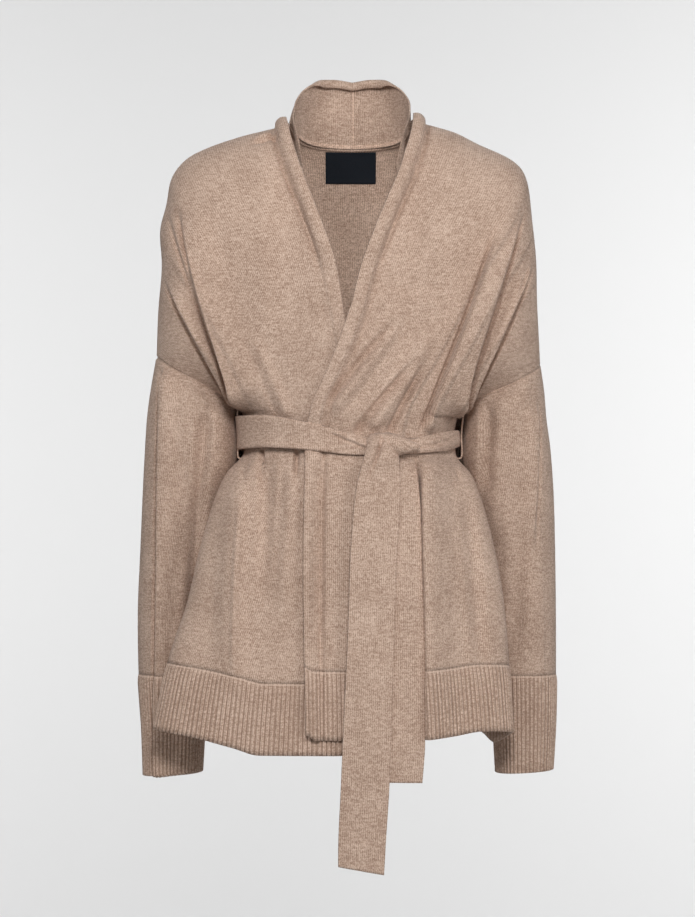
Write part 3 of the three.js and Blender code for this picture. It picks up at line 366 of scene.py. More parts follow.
# The studio in metres: backdrop, lamps with place, aim, size and watts, and the camera
BACKDROP = {"front": -9.0, "floor": -2.6, "wall": 6.0, "top": 6.0, "half_width": 9.0, "bend": 0.8}
LAMPS = {
    "key": ((-1.3, -1.9, 1.2), (0, 0, -0.25), 0.7, 12),
    "front": ((0.1, -2.3, 0.5), (0, 0, -0.3), 0.5, 28),
    "fill": ((1.9, -2.0, 0.1), (0, 0, -0.45), 1.2, 15),
    "wall_wash": ((2.8, 3.4, 0.0), (0.8, 6.0, -0.3), 2.0, 92),
    "wall_fill": ((-3.0, 3.4, 0.0), (-0.8, 6.0, -0.3), 2.0, 72),
}
SKY = 0.3
CAMERA = {"x": -0.00275, "front": -0.1, "sensor": 36, "far": 50}


# Curves and rings

def track(rows, at, key):
    """A smooth value of one column along another, without overshoot."""
    t, v = rows[at], rows[key]
    if t[0] > t[-1]:
        t, v = t[::-1], v[::-1]
    h = np.diff(t)
    slope = np.diff(v) / h
    before = np.concatenate([slope[:1], slope])
    after = np.concatenate([slope, slope[-1:]])
    product = before * after
    tangent = np.where(product > 0, 2 * product / np.where(before + after == 0, 1, before + after), 0)

    def value(place):
        p = np.clip(np.asarray(place, float), t[0], t[-1])
        i = np.clip(np.searchsorted(t, p, side="right") - 1, 0, len(h) - 1)
        s = (p - t[i]) / h[i]
        rise = (1 + 2 * s) * (1 - s) ** 2 * v[i] + s * s * (3 - 2 * s) * v[i + 1]
        return rise + s * (1 - s) ** 2 * h[i] * tangent[i] + s * s * (s - 1) * h[i] * tangent[i + 1]

    return value


def ramp(value, start, end):
    """0 at start and 1 at end, smooth between, whichever is larger."""
    t = np.clip((np.asarray(value, float) - start) / (end - start), 0, 1)
    return t * t * (3 - 2 * t)


def power(value, exponent):
    return np.sign(value) * np.abs(value) ** exponent


def unit(vectors):
    """Vectors of length one in the same directions."""
    return vectors / np.maximum(np.linalg.norm(vectors, axis=-1, keepdims=True), 1e-9)


def lengths(points):
    """How far along a line each of its points lies."""
    return np.concatenate([[0], np.cumsum(np.linalg.norm(np.diff(points, axis=0), axis=1))])


def all_round(grid, closed):
    """A grid with its first column again at the end when it goes all round."""
    return np.concatenate([grid, grid[:, :1]], axis=1) if closed else grid


def spread(points, shares):
    """Points at the given shares of a polyline's length."""
    sums = lengths(points)
    want = np.clip(shares, 0, 1) * sums[-1]
    return np.stack([np.interp(want, sums, points[:, k]) for k in range(points.shape[1])], axis=-1)


def curve_through(points, steps=80):
    """A smooth line through a few points."""
    n = len(points)
    t = np.linspace(0, n - 1, steps + 1)
    i = np.minimum(t.astype(int), n - 2)
    s = (t - i)[:, None]
    p0, p1 = points[np.maximum(i - 1, 0)], points[i]
    p2, p3 = points[i + 1], points[np.minimum(i + 2, n - 1)]
    v0, v1 = (p2 - p0) / 2, (p3 - p1) / 2
    return (2 * p1 - 2 * p2 + v0 + v1) * s**3 + (-3 * p1 + 3 * p2 - 2 * v0 - v1) * s**2 + v0 * s + p1


def outline(rows, sign):
    return curve_through(np.stack([sign * rows["out"], rows["up"]], axis=1))


RING_AT = {key: track(RINGS, "up", key) for key in RINGS}
EDGE_X = {side: track(FREE_EDGE[side], "up", "x") for side in FREE_EDGE}
HEM_UP = {name: track(HEM[name], "share", "up") for name in HEM}


def half_ring(level, side):
    """Half of a level ring, from the centre front round the side to the centre back."""
    size = {key: float(RING_AT[key](level)) for key in RING_AT}
    bend = 2 / RING_ROUND

    def quarter(reach, middle, depth, across, ahead):
        return np.stack([reach * power(across, bend), middle + (depth - middle) * power(ahead, bend)], 1)

    a = np.linspace(0, math.pi / 2, CORNER_INDEX + 1)
    front = quarter(size[side], size["cornerY"], size["front"], np.sin(a), np.cos(a))
    back = quarter(size["seam"], size["seamY"], size["back"], np.cos(a[1:]), np.sin(a[1:]))
    s = np.linspace(0, 1, SEAM_INDEX - CORNER_INDEX + 1)[1:, None]
    turn = np.array([size[side], size["cornerY"]]) * (1 - s) + np.array([size["seam"], size["seamY"]]) * s
    points = np.concatenate([front, turn, back])
    for _ in range(RING_PASSES):
        points[1:-1] = 0.25 * points[:-2] + 0.5 * points[1:-1] + 0.25 * points[2:]
    points[:, 0] *= SIGN[side]
    return points


def front_ring(level, side, shares):
    """Points of a front's ring from its free edge to its side seam."""
    across = half_ring(level, OTHER[side])[1:SEAM_INDEX][::-1]
    whole = np.concatenate([across, half_ring(level, side)[: SEAM_INDEX + 1]])
    edge = float(EDGE_X[side](level))
    sign = SIGN[side]
    first = int(np.argmax(sign * whole[:, 0] > sign * edge))
    a, b = whole[first - 1], whole[first]
    start = a + (b - a) * (edge - a[0]) / (b[0] - a[0])
    return spread(np.concatenate([[start], whole[first:]]), shares)


def back_ring(level, shares):
    """Points of the back's ring from the left side seam to the right one."""
    left = half_ring(level, "left")[SEAM_INDEX:]
    right = half_ring(level, "right")[SEAM_INDEX:-1][::-1]
    return spread(np.concatenate([left, right]), shares)


def belt_ring(level, places):
    """Points of the waist ring: places 0 to 1 across the front from the right, 1 to 2 round the back."""
    right, left = half_ring(level, "right"), half_ring(level, "left")
    front = np.concatenate([right[: SEAM_INDEX + 1][::-1], left[1 : SEAM_INDEX + 1]])
    ahead = spread(front, np.clip(places, 0, 1))
    behind = back_ring(level, np.clip(places - 1, 0, 1))
    return np.where((places < 1)[:, None], ahead, behind)


def front_depth(x, up):
    """Depth of the body's front at places across and heights."""
    x, up = np.broadcast_arrays(np.asarray(x, float), np.asarray(up, float))
    result = np.empty(x.shape)
    for level in np.unique(np.clip(up, HEM_LEVEL, WAIST_TOP)):
        here = np.clip(up, HEM_LEVEL, WAIST_TOP) == level
        for side, chosen in (("right", here & (x < 0)), ("left", here & (x >= 0))):
            ring = half_ring(level, side)[: CORNER_INDEX + 1]
            result[chosen] = np.interp(np.abs(x[chosen]), np.abs(ring[:, 0]), ring[:, 1])
    return result


# Relief of the cloth

def fold_rise(folds, x, up):
    """How far the folds raise the cloth at places seen from the front."""
    total = np.zeros(np.shape(x))
    for i in range(len(folds["x"])):
        f = {key: folds[key][i] for key in folds}
        line = np.array([f["toX"] - f["x"], f["toUp"] - f["up"]])
        length = np.linalg.norm(line)
        line = line / length
        px, py = x - f["x"], up - f["up"]
        share = (px * line[0] + py * line[1]) / length
        outward = np.sign(f["x"])
        across = outward * (-px * line[1] + py * line[0]) - f["bow"] * 4 * share * (1 - share)
        away = np.abs(across) / np.where(across > 0, f["sleeve"], f["middle"])
        ends = ramp(share, 0, f["start"]) * ramp(share, 1, 1 - f["end"])
        profile = np.cos(np.clip(away, 0, 1) * math.pi / 2) ** 2
        steep = min(f["sleeve"], f["middle"])
        if steep < GROOVE["below"] < f["rise"] + GROOVE["below"]:
            past = (np.where(f["sleeve"] < f["middle"], across, -across) / steep - 0.5) / GROOVE["width"]
            profile = profile - GROOVE["depth"] * np.sin(math.pi * np.clip(past, 0, 1)) ** 2
        total += np.where((share > 0) & (share < 1), f["rise"] * ends * profile, 0)
    return total


def roll_rise(distance, up, least):
    """Height of the rolled neckline edge at a distance from the free edge."""
    strength = np.maximum(ramp(up, ROLL["fade_to"], ROLL["fade_from"]), least)
    width, lead = ROLL["width"], ROLL["lead"]
    crest = np.sin(math.pi * np.clip((distance + lead) / (width + lead), 0, 1)) ** ROLL["flatness"]
    after = np.clip((distance - width) / ROLL["dip_width"], 0, 1)
    return strength * (ROLL["rise"] * crest - ROLL["dip"] * np.sin(math.pi * after))


def lap_rise(x, up):
    """How far the left front and the belt over it are raised by the right front under them."""
    return LAP["rise"] * ramp(x, LAP["to_x"], LAP["from_x"]) * ramp(up, LAP["to_up"], LAP["from_up"])


def depth_share(share):
    """Share of the full depth at a share of the height."""
    return np.sqrt(1 - (1 - share) ** 4)


def arm_share(share):
    """Share of the armhole's bow at a share of the height."""
    return np.sqrt(np.maximum(0, 1 - (2 * share**0.75 - 1) ** 2))


# Panel surfaces: rows from the top down, columns to the side

def fill(inner, outer, top, bottom, u, v):
    """Fills in a panel between its four edges."""
    u, v = u[None, :, None], v[:, None, None]
    blend = (1 - u) * inner[:, None] + u * outer[:, None] + (1 - v) * top[None] + v * bottom[None]
    above = (1 - u) * (1 - v) * inner[0] + u * (1 - v) * outer[0]
    return blend - (above + (1 - u) * v * inner[-1] + u * v * outer[-1])


def row_shares(rows):
    """Shares of a panel's height, close together at the shoulder where it curves most."""
    s = np.linspace(0, 1, rows + 1)
    return 3 * s * s / (1 + 2 * s)


def skirt_rows(ring, name, shares, levels):
    """Rows below the waist, drawn out to the panel's own hem."""
    rows = []
    for level in levels:
        p = ring(level)
        stretch = (HEM_UP[name](shares) - WAIST_TOP) / (HEM_LEVEL - WAIST_TOP)
        rows.append(np.column_stack([p, WAIST_TOP + (level - WAIST_TOP) * stretch]))
    return np.stack(rows)


def front_surface(side, shares, rows, levels):
    v = row_shares(rows)
    waist = front_ring(WAIST_TOP, side, shares)
    neck_up = SHOULDER[side]["up"][0]
    ups = np.linspace(neck_up, WAIST_TOP, NECK_ROWS)
    edge = spread(np.stack([EDGE_X[side](ups), ups], axis=1), v)
    top = spread(outline(SHOULDER[side], SIGN[side]), shares)
    outer = spread(outline(ARMHOLE[side], SIGN[side]), v)
    bottom = np.column_stack([waist[:, 0], np.full(len(shares), WAIST_TOP)])
    seen = fill(edge, outer, top, bottom, shares, v)
    shoulder = ARMHOLE_TOP_Y * shares[None, :]
    near = ramp(np.abs(seen[..., 0]), CHEST_FROM, CHEST_TO)
    full = front_depth(seen[..., 0], WAIST_TOP) * (1 - near) + waist[None, :, 1] * near
    y = shoulder + (full - shoulder) * depth_share(v)[:, None]
    y = y - ARM_FRONT * arm_share(v)[:, None] * ramp(shares, ARM_FROM, 1)[None, :]
    upper = np.stack([seen[..., 0], y, seen[..., 1]], axis=-1)
    lower = skirt_rows(lambda level: front_ring(level, side, shares), side, shares, levels)
    return np.concatenate([upper, lower])


def collar_point(rows, share, side):
    """A point of the neckline or the collar's rim, a little off the middle at the back."""
    at = {key: track(rows, "share", key)(share) for key in ("out", "y", "up")}
    shift = NECK_SHIFT * ramp(share, 1, NECK_SHARE)
    return np.stack([shift + SIGN[side] * at["out"], at["y"], at["up"]], axis=-1)


def collar_foot(shares, side):
    """Points of the collar's lower edge: along the back's neck edge, then below the front's edge."""
    line = back_top()
    middle = SHOULDER_STEPS + NECK_STEPS
    step = middle - SIGN[side] * NECK_STEPS * np.minimum(shares, NECK_SHARE) / NECK_SHARE
    behind = np.stack([np.interp(step, np.arange(len(line)), line[:, k]) for k in range(3)], axis=1)
    at = {key: track(COLLAR_FOOT, "share", key)(shares) for key in ("inward", "y", "down")}
    out, up = SHOULDER[side]["out"][0], SHOULDER[side]["up"][0]
    ahead = np.stack([SIGN[side] * (out - at["inward"]), at["y"], up - at["down"]], axis=1)
    return np.where((shares > NECK_SHARE)[:, None], ahead, behind)


def back_top():
    """Top edge of the back: left shoulder seam, neckline, right shoulder seam."""
    s = np.linspace(0, 1, SHOULDER_STEPS + 1)

    def shoulder(side):
        p = spread(outline(SHOULDER[side], SIGN[side]), s)
        return np.stack([p[:, 0], ARMHOLE_TOP_Y * s, p[:, 1]], axis=1)

    across = NECK_SHARE * np.arange(1 - NECK_STEPS, NECK_STEPS) / NECK_STEPS
    neck = [collar_point(NECK_LINE, abs(a), "left" if a < 0 else "right") for a in across]
    return np.concatenate([shoulder("left")[::-1], neck, shoulder("right")])


def back_surface(shares, rows, levels):
    v = row_shares(rows)
    waist = back_ring(WAIST_TOP, shares)
    line = spread(back_top(), shares)
    top = line[:, [0, 2]]
    left = spread(outline(ARMHOLE["left"], 1), v)
    right = spread(outline(ARMHOLE["right"], -1), v)
    bottom = np.column_stack([waist[:, 0], np.full(len(shares), WAIST_TOP)])
    seen = fill(left, right, top, bottom, shares, v)
    start = line[None, :, 1]
    side = np.abs(2 * shares - 1)[None, :]
    y = start + (waist[None, :, 1] - start) * depth_share(v)[:, None]
    y = y + BACK_FULLNESS * np.sin(math.pi * v)[:, None] * (1 - side)
    y = y + ARM_BACK * arm_share(v)[:, None] * ramp(side, ARM_FROM, 1)
    upper = np.stack([seen[..., 0], y, seen[..., 1]], axis=-1)
    lower = skirt_rows(lambda level: back_ring(level, shares), "back", shares, levels)
    return np.concatenate([upper, lower])


def grid_normals(grid, closed=False):
    """Outward normals of a grid whose columns run to the right as seen from outside."""
    down = np.gradient(grid, axis=0)
    across = np.roll(grid, -1, axis=1) - np.roll(grid, 1, axis=1) if closed else np.gradient(grid, axis=1)
    return unit(np.cross(down, across))


def seen_normals(side, grid):
    """Normals of a front whose columns start at the free edge."""
    return grid_normals(grid) if side == "left" else grid_normals(grid[:, ::-1])[:, ::-1]


def dress_front(side, grid, shares, hold=1):
    """Folds, lap and rolled edge of a front; hold weakens them row by row."""
    normals = seen_normals(side, grid)
    steps = np.linalg.norm(np.diff(grid, axis=1), axis=-1)
    distance = np.concatenate([np.zeros((len(grid), 1)), np.cumsum(steps, axis=1)], axis=1)
    x, up = grid[..., 0], grid[..., 2]
    ahead = np.where(up < WAIST_TOP, ramp(shares, *SIDE_FADE)[None, :], 1)
    lap = lap_rise(x, up) if side == "left" else 0
    roll = roll_rise(distance, up, ROLL["over"] if side == "left" else 0)
    rise = lap + np.where(roll < 0, roll * hold, roll)
    forward = unit(normals * FOLD_PUSH)
    folds = fold_rise(FOLDS, x, up) * ahead * hold
    return grid + normals * rise[..., None] + forward * folds[..., None]


# Meshes

def knit_places(grid, closed, ribs=None, waist=None):
    """Places of a grid's points in the knit, in millimetres: across the wales and along them.

    Ribs are counted in pitches. Below a waist row the wales hang straight down instead of fanning out.
    """
    loop = all_round(grid, closed)
    middle, centre = loop[(waist or len(loop)) // 2], loop[:, loop.shape[1] // 2]
    across = np.linspace(0, ribs, len(middle)) if ribs else lengths(middle)
    across, along = (np.array(part) for part in np.broadcast_arrays(across, lengths(centre)[:, None]))
    if waist:
        skirt = loop[waist:]
        level = np.cumsum(np.linalg.norm(np.diff(skirt[..., :2], axis=1), axis=-1), axis=1)
        across[waist:, 1:] = level
        across[waist:] += skirt[:, :1, 0]
        along[waist:] = -skirt[..., 2]
    return np.stack([across, along], axis=-1)


def link(name, data):
    """A new object in the scene."""
    thing = bpy.data.objects.new(name, data)
    bpy.context.scene.collection.objects.link(thing)
    return thing


def cloth_mesh(name, outer, inner, closed=False, ribs=None, waist=None):
    """A wall of cloth between two grids in millimetres, with UVs in metres along the knit's columns."""
    rows, columns = outer.shape[:2]
    verts = np.concatenate([outer.reshape(-1, 3), inner.reshape(-1, 3)]) * MM
    index = all_round(np.arange(rows * columns).reshape(rows, columns), closed)
    shift = rows * columns

    def corners(at):
        """Corners of the outside, the inside and the rims, for the grid's indices or its UVs."""
        a, b, c, d = at[:-1, :-1], at[1:, :-1], at[1:, 1:], at[:-1, 1:]
        inside = shift if at is index else 0
        parts = [np.stack([a, b, c, d], axis=2), np.stack([a, d, c, b], axis=2) + inside]
        lines = [at[0], at[-1][::-1]] if closed else [at[0], at[-1][::-1], at[::-1, 0], at[:, -1]]
        parts += [np.stack([i[:-1], i[1:], i[1:] + inside, i[:-1] + inside], axis=1) for i in lines]
        return np.concatenate([part.reshape(-1, 4, *at.shape[2:]) for part in parts])

    faces = corners(index)
    mesh = bpy.data.meshes.new(name)
    mesh.vertices.add(len(verts))
    mesh.vertices.foreach_set("co", verts.ravel())
    mesh.loops.add(faces.size)
    mesh.loops.foreach_set("vertex_index", faces.ravel())
    mesh.polygons.add(len(faces))
    mesh.polygons.foreach_set("loop_start", np.arange(0, faces.size, 4))
    mesh.polygons.foreach_set("use_smooth", np.ones(len(faces), bool))
    mesh.update(calc_edges=True)
    layer = mesh.uv_layers.new(name="knit")
    layer.data.foreach_set("uv", (corners(knit_places(outer, closed, ribs, waist)) * MM).ravel())
    mesh.validate()
    return link(name, mesh)


def sheet_piece(name, grid, normals, thickness, closed=False, waist=None):
    return cloth_mesh(name, grid, grid - normals * thickness, closed, waist=waist)


def paint_light_inside(piece, grid, key, where):
    """Gives the marked inner faces of a wall a copy of the yarn in another brightness: painted light."""
    piece.data.materials.append(material(key))
    count = (grid.shape[0] - 1) * (grid.shape[1] - 1)
    marked = np.zeros(len(piece.data.polygons), np.int32)
    marked[count : 2 * count] = where
    piece.data.polygons.foreach_set("material_index", marked)


def place(piece, node, slot):
    """Gives a piece its finish and puts it on the body in place of its node."""
    piece.data.materials.append(material(slot))
    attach(piece, "root")
    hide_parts(node)


def declare(piece, node, slot):
    """Places a piece of cloth."""
    place(piece, node, slot)


# Yarn and finishes

class Nodes:
    """Short hand for a material's node tree."""

    def __init__(self, name, roughness, sheen):
        self.material = bpy.data.materials.new(name)
        self.material.use_nodes = True
        self.tree = self.material.node_tree
        self.shader = self.tree.nodes["Principled BSDF"]
        self.shader.inputs["Roughness"].default_value = roughness
        self.shader.inputs["Specular IOR Level"].default_value = 0.2
        self.shader.inputs["Sheen Weight"].default_value = sheen
        self.shader.inputs["Sheen Roughness"].default_value = 0.5
        self.uv = self.add("ShaderNodeUVMap", uv_map="knit").outputs["UV"]

    def add(self, kind, inputs=(), **settings):
        node = self.tree.nodes.new(kind)
        for key, value in settings.items():
            setattr(node, key, value)
        for key, value in dict(inputs).items():
            if isinstance(value, bpy.types.NodeSocket):
                self.tree.links.new(value, node.inputs[key])
            else:
                node.inputs[key].default_value = value
        return node

    def mapped(self, vector, *scale):
        return self.add("ShaderNodeMapping", {"Vector": vector, "Scale": scale}).outputs["Vector"]

    def scaled(self, across, along):
        """The knit's coordinates, counted in spots of this size in millimetres."""
        return self.mapped(self.uv, 1 / (across * MM), 1 / (along * MM), 1)

    def noise(self, across, along, detail=2.0, roughness=0.5):
        """Spots of a size across and up, in millimetres, spread through the cloth's own space."""
        spot, length = 1 / (across * MM), 1 / (along * MM)
        vector = self.mapped(self.add("ShaderNodeTexCoord").outputs["Object"], spot, spot, length)
        inputs = {"Vector": vector, "Scale": 1.0, "Detail": detail, "Roughness": roughness}
        return self.add("ShaderNodeTexNoise", inputs).outputs["Fac"]

    def math(self, operation, a, b=0.0, c=0.0):
        return self.add("ShaderNodeMath", {0: a, 1: b, 2: c}, operation=operation).outputs[0]

    def mix(self, factor, a, b):
        return self.add("ShaderNodeMix", {0: factor, 6: a, 7: b}, data_type="RGBA").outputs[2]

    def split(self, vector):
        return self.add("ShaderNodeSeparateXYZ", {"Vector": vector}).outputs

    def remap(self, value, low, high, to_high=1.0):
        inputs = {"Value": value, "From Min": low, "From Max": high, "To Max": to_high}
        return self.add("ShaderNodeMapRange", inputs).outputs["Result"]

    def finish(self, colour, height, distance):
        self.tree.links.new(colour, self.shader.inputs["Base Color"])
        bump = self.add("ShaderNodeBump", {"Height": height, "Distance": distance * MM, "Strength": 1.0})
        self.tree.links.new(bump.outputs["Normal"], self.shader.inputs["Normal"])
        return self.material


def knit_material(name, yarn, shade, rib_pitch):
    """Fine stockinette in a heathered yarn: pale and brown fibres, narrow wales and a soft nap."""
    pale, base, brown = ([c * shade for c in colour] + [1] for colour in (yarn.light, yarn.base, yarn.dark))
    n = Nodes(name, roughness=0.92, sheen=0.12)
    fleck = n.remap(n.noise(*SPOTS["fleck"], detail=1.5, roughness=0.6), 0.3, 0.7)
    streak = n.remap(n.noise(*SPOTS["streak"], detail=1.5), 0.32, 0.68)
    cloud = n.remap(n.noise(*SPOTS["cloud"]), 0.35, 0.65)
    melange = n.math("MULTIPLY_ADD", fleck, TONE["fleck"], n.math("MULTIPLY", streak, TONE["streak"]))
    melange = n.math("MULTIPLY_ADD", cloud, TONE["cloud"], n.math("ADD", melange, TONE["even"]))
    across, along, _ = n.split(n.scaled(*SPOTS["stitch"]))
    leg = n.math("PINGPONG", across, 0.5)
    wale = n.math("SINE", n.math("MULTIPLY", leg, math.pi))
    stitch = n.math("PINGPONG", n.math("MULTIPLY_ADD", leg, STITCH_SLANT, along), 0.5)
    tone = n.math("MULTIPLY_ADD", wale, TONE["wale"], melange)
    tone = n.math("MULTIPLY_ADD", stitch, TONE["stitch"], tone)
    colour = n.mix(n.remap(tone, *BROWN_TO_YARN), brown, base)
    colour = n.mix(n.remap(tone, *YARN_TO_PALE), colour, pale)
    height = n.math("MULTIPLY_ADD", stitch, RELIEF["stitch"], n.math("MULTIPLY", wale, RELIEF["wale"]))
    height = n.math("MULTIPLY_ADD", fleck, RELIEF["fleck"], height)
    if rib_pitch:
        across, along, _ = n.split(n.scaled(rib_pitch, 1))
        # Painted shade: the valleys between the ribs are darkened towards the brown fibres
        painted_valley_shade = n.remap(n.math("PINGPONG", across, 0.5), 0.0, RIB_MARKS["painted_valley_shade"])
        colour = n.mix(painted_valley_shade, [c * RIB_MARKS["shade"] for c in brown[:3]] + [1], colour)
        seam = n.math("PINGPONG", n.math("MINIMUM", along, RIB_MARKS["seam"]), RIB_MARKS["seam"] / 2)
        colour = n.mix(n.remap(seam, *RIB_MARKS["soft"], to_high=RIB_MARKS["strength"]), colour, pale)
    return n.finish(colour, height, RELIEF["depth"])


# Settings that a user would change

def colour_prop(name, description, default):
    return FloatVectorProperty(
        name=name, description=description, subtype="COLOR", size=3, min=0, max=1, default=default
    )


def shade_prop(name, description, default):
    return FloatProperty(name=name, description=description, default=default, max=2, subtype="FACTOR")


def length_prop(name, description, default):
    return FloatProperty(name=name, description=description, default=default, unit="LENGTH")


class CARDIGAN_PG_yarn(bpy.types.PropertyGroup):
    light: colour_prop("Light fibres", "Colour of the pale fibres in the yarn", (0.7, 0.53, 0.425))
    base: colour_prop("Yarn", "Main colour of the heathered yarn", (0.5, 0.352, 0.27))
    dark: colour_prop("Dark fibres", "Colour of the brown fibres in the yarn", (0.31, 0.2, 0.145))
    # Painted light: the ribs get a brighter copy of the yarn to lift the hem and cuffs
    rib_shade: shade_prop("Rib shade", "Brightness of the ribs", 1.03)
    # Painted light: the back's inside, seen through the neckline, is made brighter to stand in for light
    # reaching it
    inside_shade: shade_prop("Inside shade", "Brightness of the back's inside", 1.28)
    # Painted highlight: the seam ridges on the collar's inside get a brighter copy of the yarn
    seam_shade: shade_prop("Seam shade", "Brightness of the seams", 1.35)
    label: colour_prop("Label", "Colour of the bare neck label", (0.008, 0.011, 0.016))


class CARDIGAN_PG_cloth(bpy.types.PropertyGroup):
    knit: length_prop("Knit", "Thickness of the body's knit", 0.0022)
    belt: length_prop("Belt", "Thickness of the belt", 0.003)
    rib_pitch: length_prop("Rib pitch", "Distance between ribs", 0.0049)
    rib_rise: length_prop("Rib rise", "Height of a rib", 0.0015)
    panel_rows: IntProperty(name="Panel rows", description="Rows of a panel above the waist", default=130)
    panel_columns: IntProperty(name="Panel columns", description="Columns of a front", default=160)


class CARDIGAN_PG_studio(bpy.types.PropertyGroup):
    backdrop: colour_prop("Backdrop", "Colour of the plain floor and backdrop", (0.73, 0.73, 0.73))
    distance: length_prop("Distance", "Camera to the front of the cloth", 3.5)
    lens: FloatProperty(name="Lens", description="Focal length of the camera", default=124.9, unit="CAMERA")
    height: length_prop("Height", "Height of the camera", -0.367)


GROUPS = {"yarn": CARDIGAN_PG_yarn, "cloth": CARDIGAN_PG_cloth, "studio": CARDIGAN_PG_studio}


def settings(kind):
    return getattr(bpy.context.scene, f"cardigan_{kind}")


# Finishes, panels and cuffs that several pieces share
made = {}


def material(key):
    """The finish of a kind of piece, made once."""
    if key not in made:
        yarn = settings("yarn")
        if key == "label":
            made[key] = label_material(yarn)
        else:
            # Ribs, the back's inside and the seams get brighter copies of the yarn: painted light
            pitch = settings("cloth").rib_pitch / MM if key == "rib" else 0.0
            made[key] = knit_material(f"{key}_yarn", yarn, getattr(yarn, f"{key}_shade", 1.0), pitch)
    return made[key]


def label_material(yarn):
    """Bare woven tape with a fine twill."""
    n = Nodes("label_tape", roughness=0.7, sheen=0.1)
    weave = n.remap(n.noise(*SPOTS["twill"], detail=1.0), 0.3, 0.7)
    lighter = [c * 1.7 for c in yarn.label] + [1]
    return n.finish(n.mix(weave, [*yarn.label, 1], lighter), weave, 0.1)


def front_shares(columns):
    """Shares across a front, closest together at its rolled edge."""
    near = EDGE_SHARE * np.linspace(0, 1, EDGE_COLUMNS) ** EDGE_CROWDING
    return np.concatenate([near, np.linspace(EDGE_SHARE, 1, columns)[1:]])


def soften(grid, rows):
    """Lets the corner between shoulder and neck die out below the top edge."""
    smooth = grid[: rows + 1].copy()
    for _ in range(SOFT["passes"]):
        smooth[:, 1:-1] = 0.25 * smooth[:, :-2] + 0.5 * smooth[:, 1:-1] + 0.25 * smooth[:, 2:]
    row = np.arange(rows + 1)
    weight = (ramp(row, 0, SOFT["fade_in"]) * ramp(row, rows, rows - SOFT["fade_out"]))[:, None, None]
    softened = grid.copy()
    softened[: rows + 1] += (smooth - grid[: rows + 1]) * weight
    return softened


def build_panels():
    """The three body panels as grids with shared seams and normals."""
    cloth = settings("cloth")
    rows, columns = cloth.panel_rows, cloth.panel_columns
    shares = front_shares(columns)
    levels = WAIST_TOP + (HEM_LEVEL + HEM_RIB - WAIST_TOP) * np.linspace(0, 1, SKIRT_ROWS + 1)[1:]
    hold = ramp(np.arange(rows + len(levels) + 1), 0, HOLD_ROWS)[:, None]
    bare = {side: front_surface(side, shares, rows, levels) for side in SIGN}
    panels = {side: dress_front(side, bare[side], shares, hold) for side in SIGN}
    back_shares = np.linspace(0, 1, columns + BACK_MORE)
    back = soften(back_surface(back_shares, rows, levels), rows)
    rise = fold_rise(BACK_FOLDS, back[..., 0], back[..., 2])
    rise[0] = 0
    panels["back"] = back + grid_normals(back) * rise[..., None]
    normals = {side: seen_normals(side, panels[side]) for side in SIGN}
    normals["back"] = grid_normals(panels["back"])
    for side, column in (("left", 0), ("right", -1)):
        shared = np.r_[0, np.arange(rows, len(levels) + rows + 1)]
        panels["back"][shared, column] = panels[side][shared, -1]
        mean = unit(normals[side][shared, -1] + normals["back"][shared, column])
        normals[side][shared, -1] = normals["back"][shared, column] = mean
    for name, n in normals.items():
        neck = (np.abs(panels[name][0, :, 0] - NECK_SHIFT) < NECK_HALF) & (name == "back")
        n[0, ~neck, 1] = 0
        n[0, neck, 2] = 0
        n[-1, :, 2] = 0
        n[[0, -1]] = unit(n[[0, -1]])
    return {"shares": shares, "back_shares": back_shares, "rows": rows, "grids": panels, "normals": normals}


def panels():
    if "panels" not in made:
        made["panels"] = build_panels()
    return made["panels"]


def in_order(side, grid):
    return grid if side == "left" else grid[:, ::-1]


def into_ribs(grid, closed, pitch, rise):
    """Spreads a band into ribs: the outside rises and falls, the inside stays plain."""
    loop = all_round(grid, closed)
    ribs = int(round(lengths(loop[0])[-1] / pitch))
    shares = np.linspace(0, 1, ribs * RIB["columns"] + 1)
    even = np.stack([spread(line, shares) for line in loop])
    if closed:
        even = even[:, :-1]
        shares = shares[:-1]
    normals = grid_normals(even, closed)
    wave = np.abs(np.sin(math.pi * shares * ribs)) ** RIB["flatness"]
    return even, normals, wave * rise, ribs * pitch


class CARDIGAN_OT_fronts(bpy.types.Operator):
    """Knit the two fronts, the left one lapped over the right one"""

    bl_idname = "cardigan.fronts"
    bl_label = "Fronts"

    def execute(self, context):
        cloth = settings("cloth")
        built = panels()
        for side in SIGN:
            grid = in_order(side, built["grids"][side])
            name = f"knit_front_{side}"
            normals = in_order(side, built["normals"][side])
            piece = sheet_piece(name, grid, normals, cloth.knit / MM, waist=built["rows"] + UNDER_BELT)
            declare(piece, f"front_{side}", "knit")
        return {"FINISHED"}


class CARDIGAN_OT_back(bpy.types.Operator):
    """Knit the back"""

    bl_idname = "cardigan.back"
    bl_label = "Back"

    def execute(self, context):
        cloth = settings("cloth")
        built = panels()
        grid = built["grids"]["back"]
        waist = built["rows"] + UNDER_BELT
        piece = sheet_piece("knit_back", grid, built["normals"]["back"], cloth.knit / MM, waist=waist)
        declare(piece, "back", "knit")
        # Painted light: the back's inner faces get a brighter copy of the yarn, standing in for light
        # through the neckline
        paint_light_inside(piece, grid, "inside", 1)
        return {"FINISHED"}


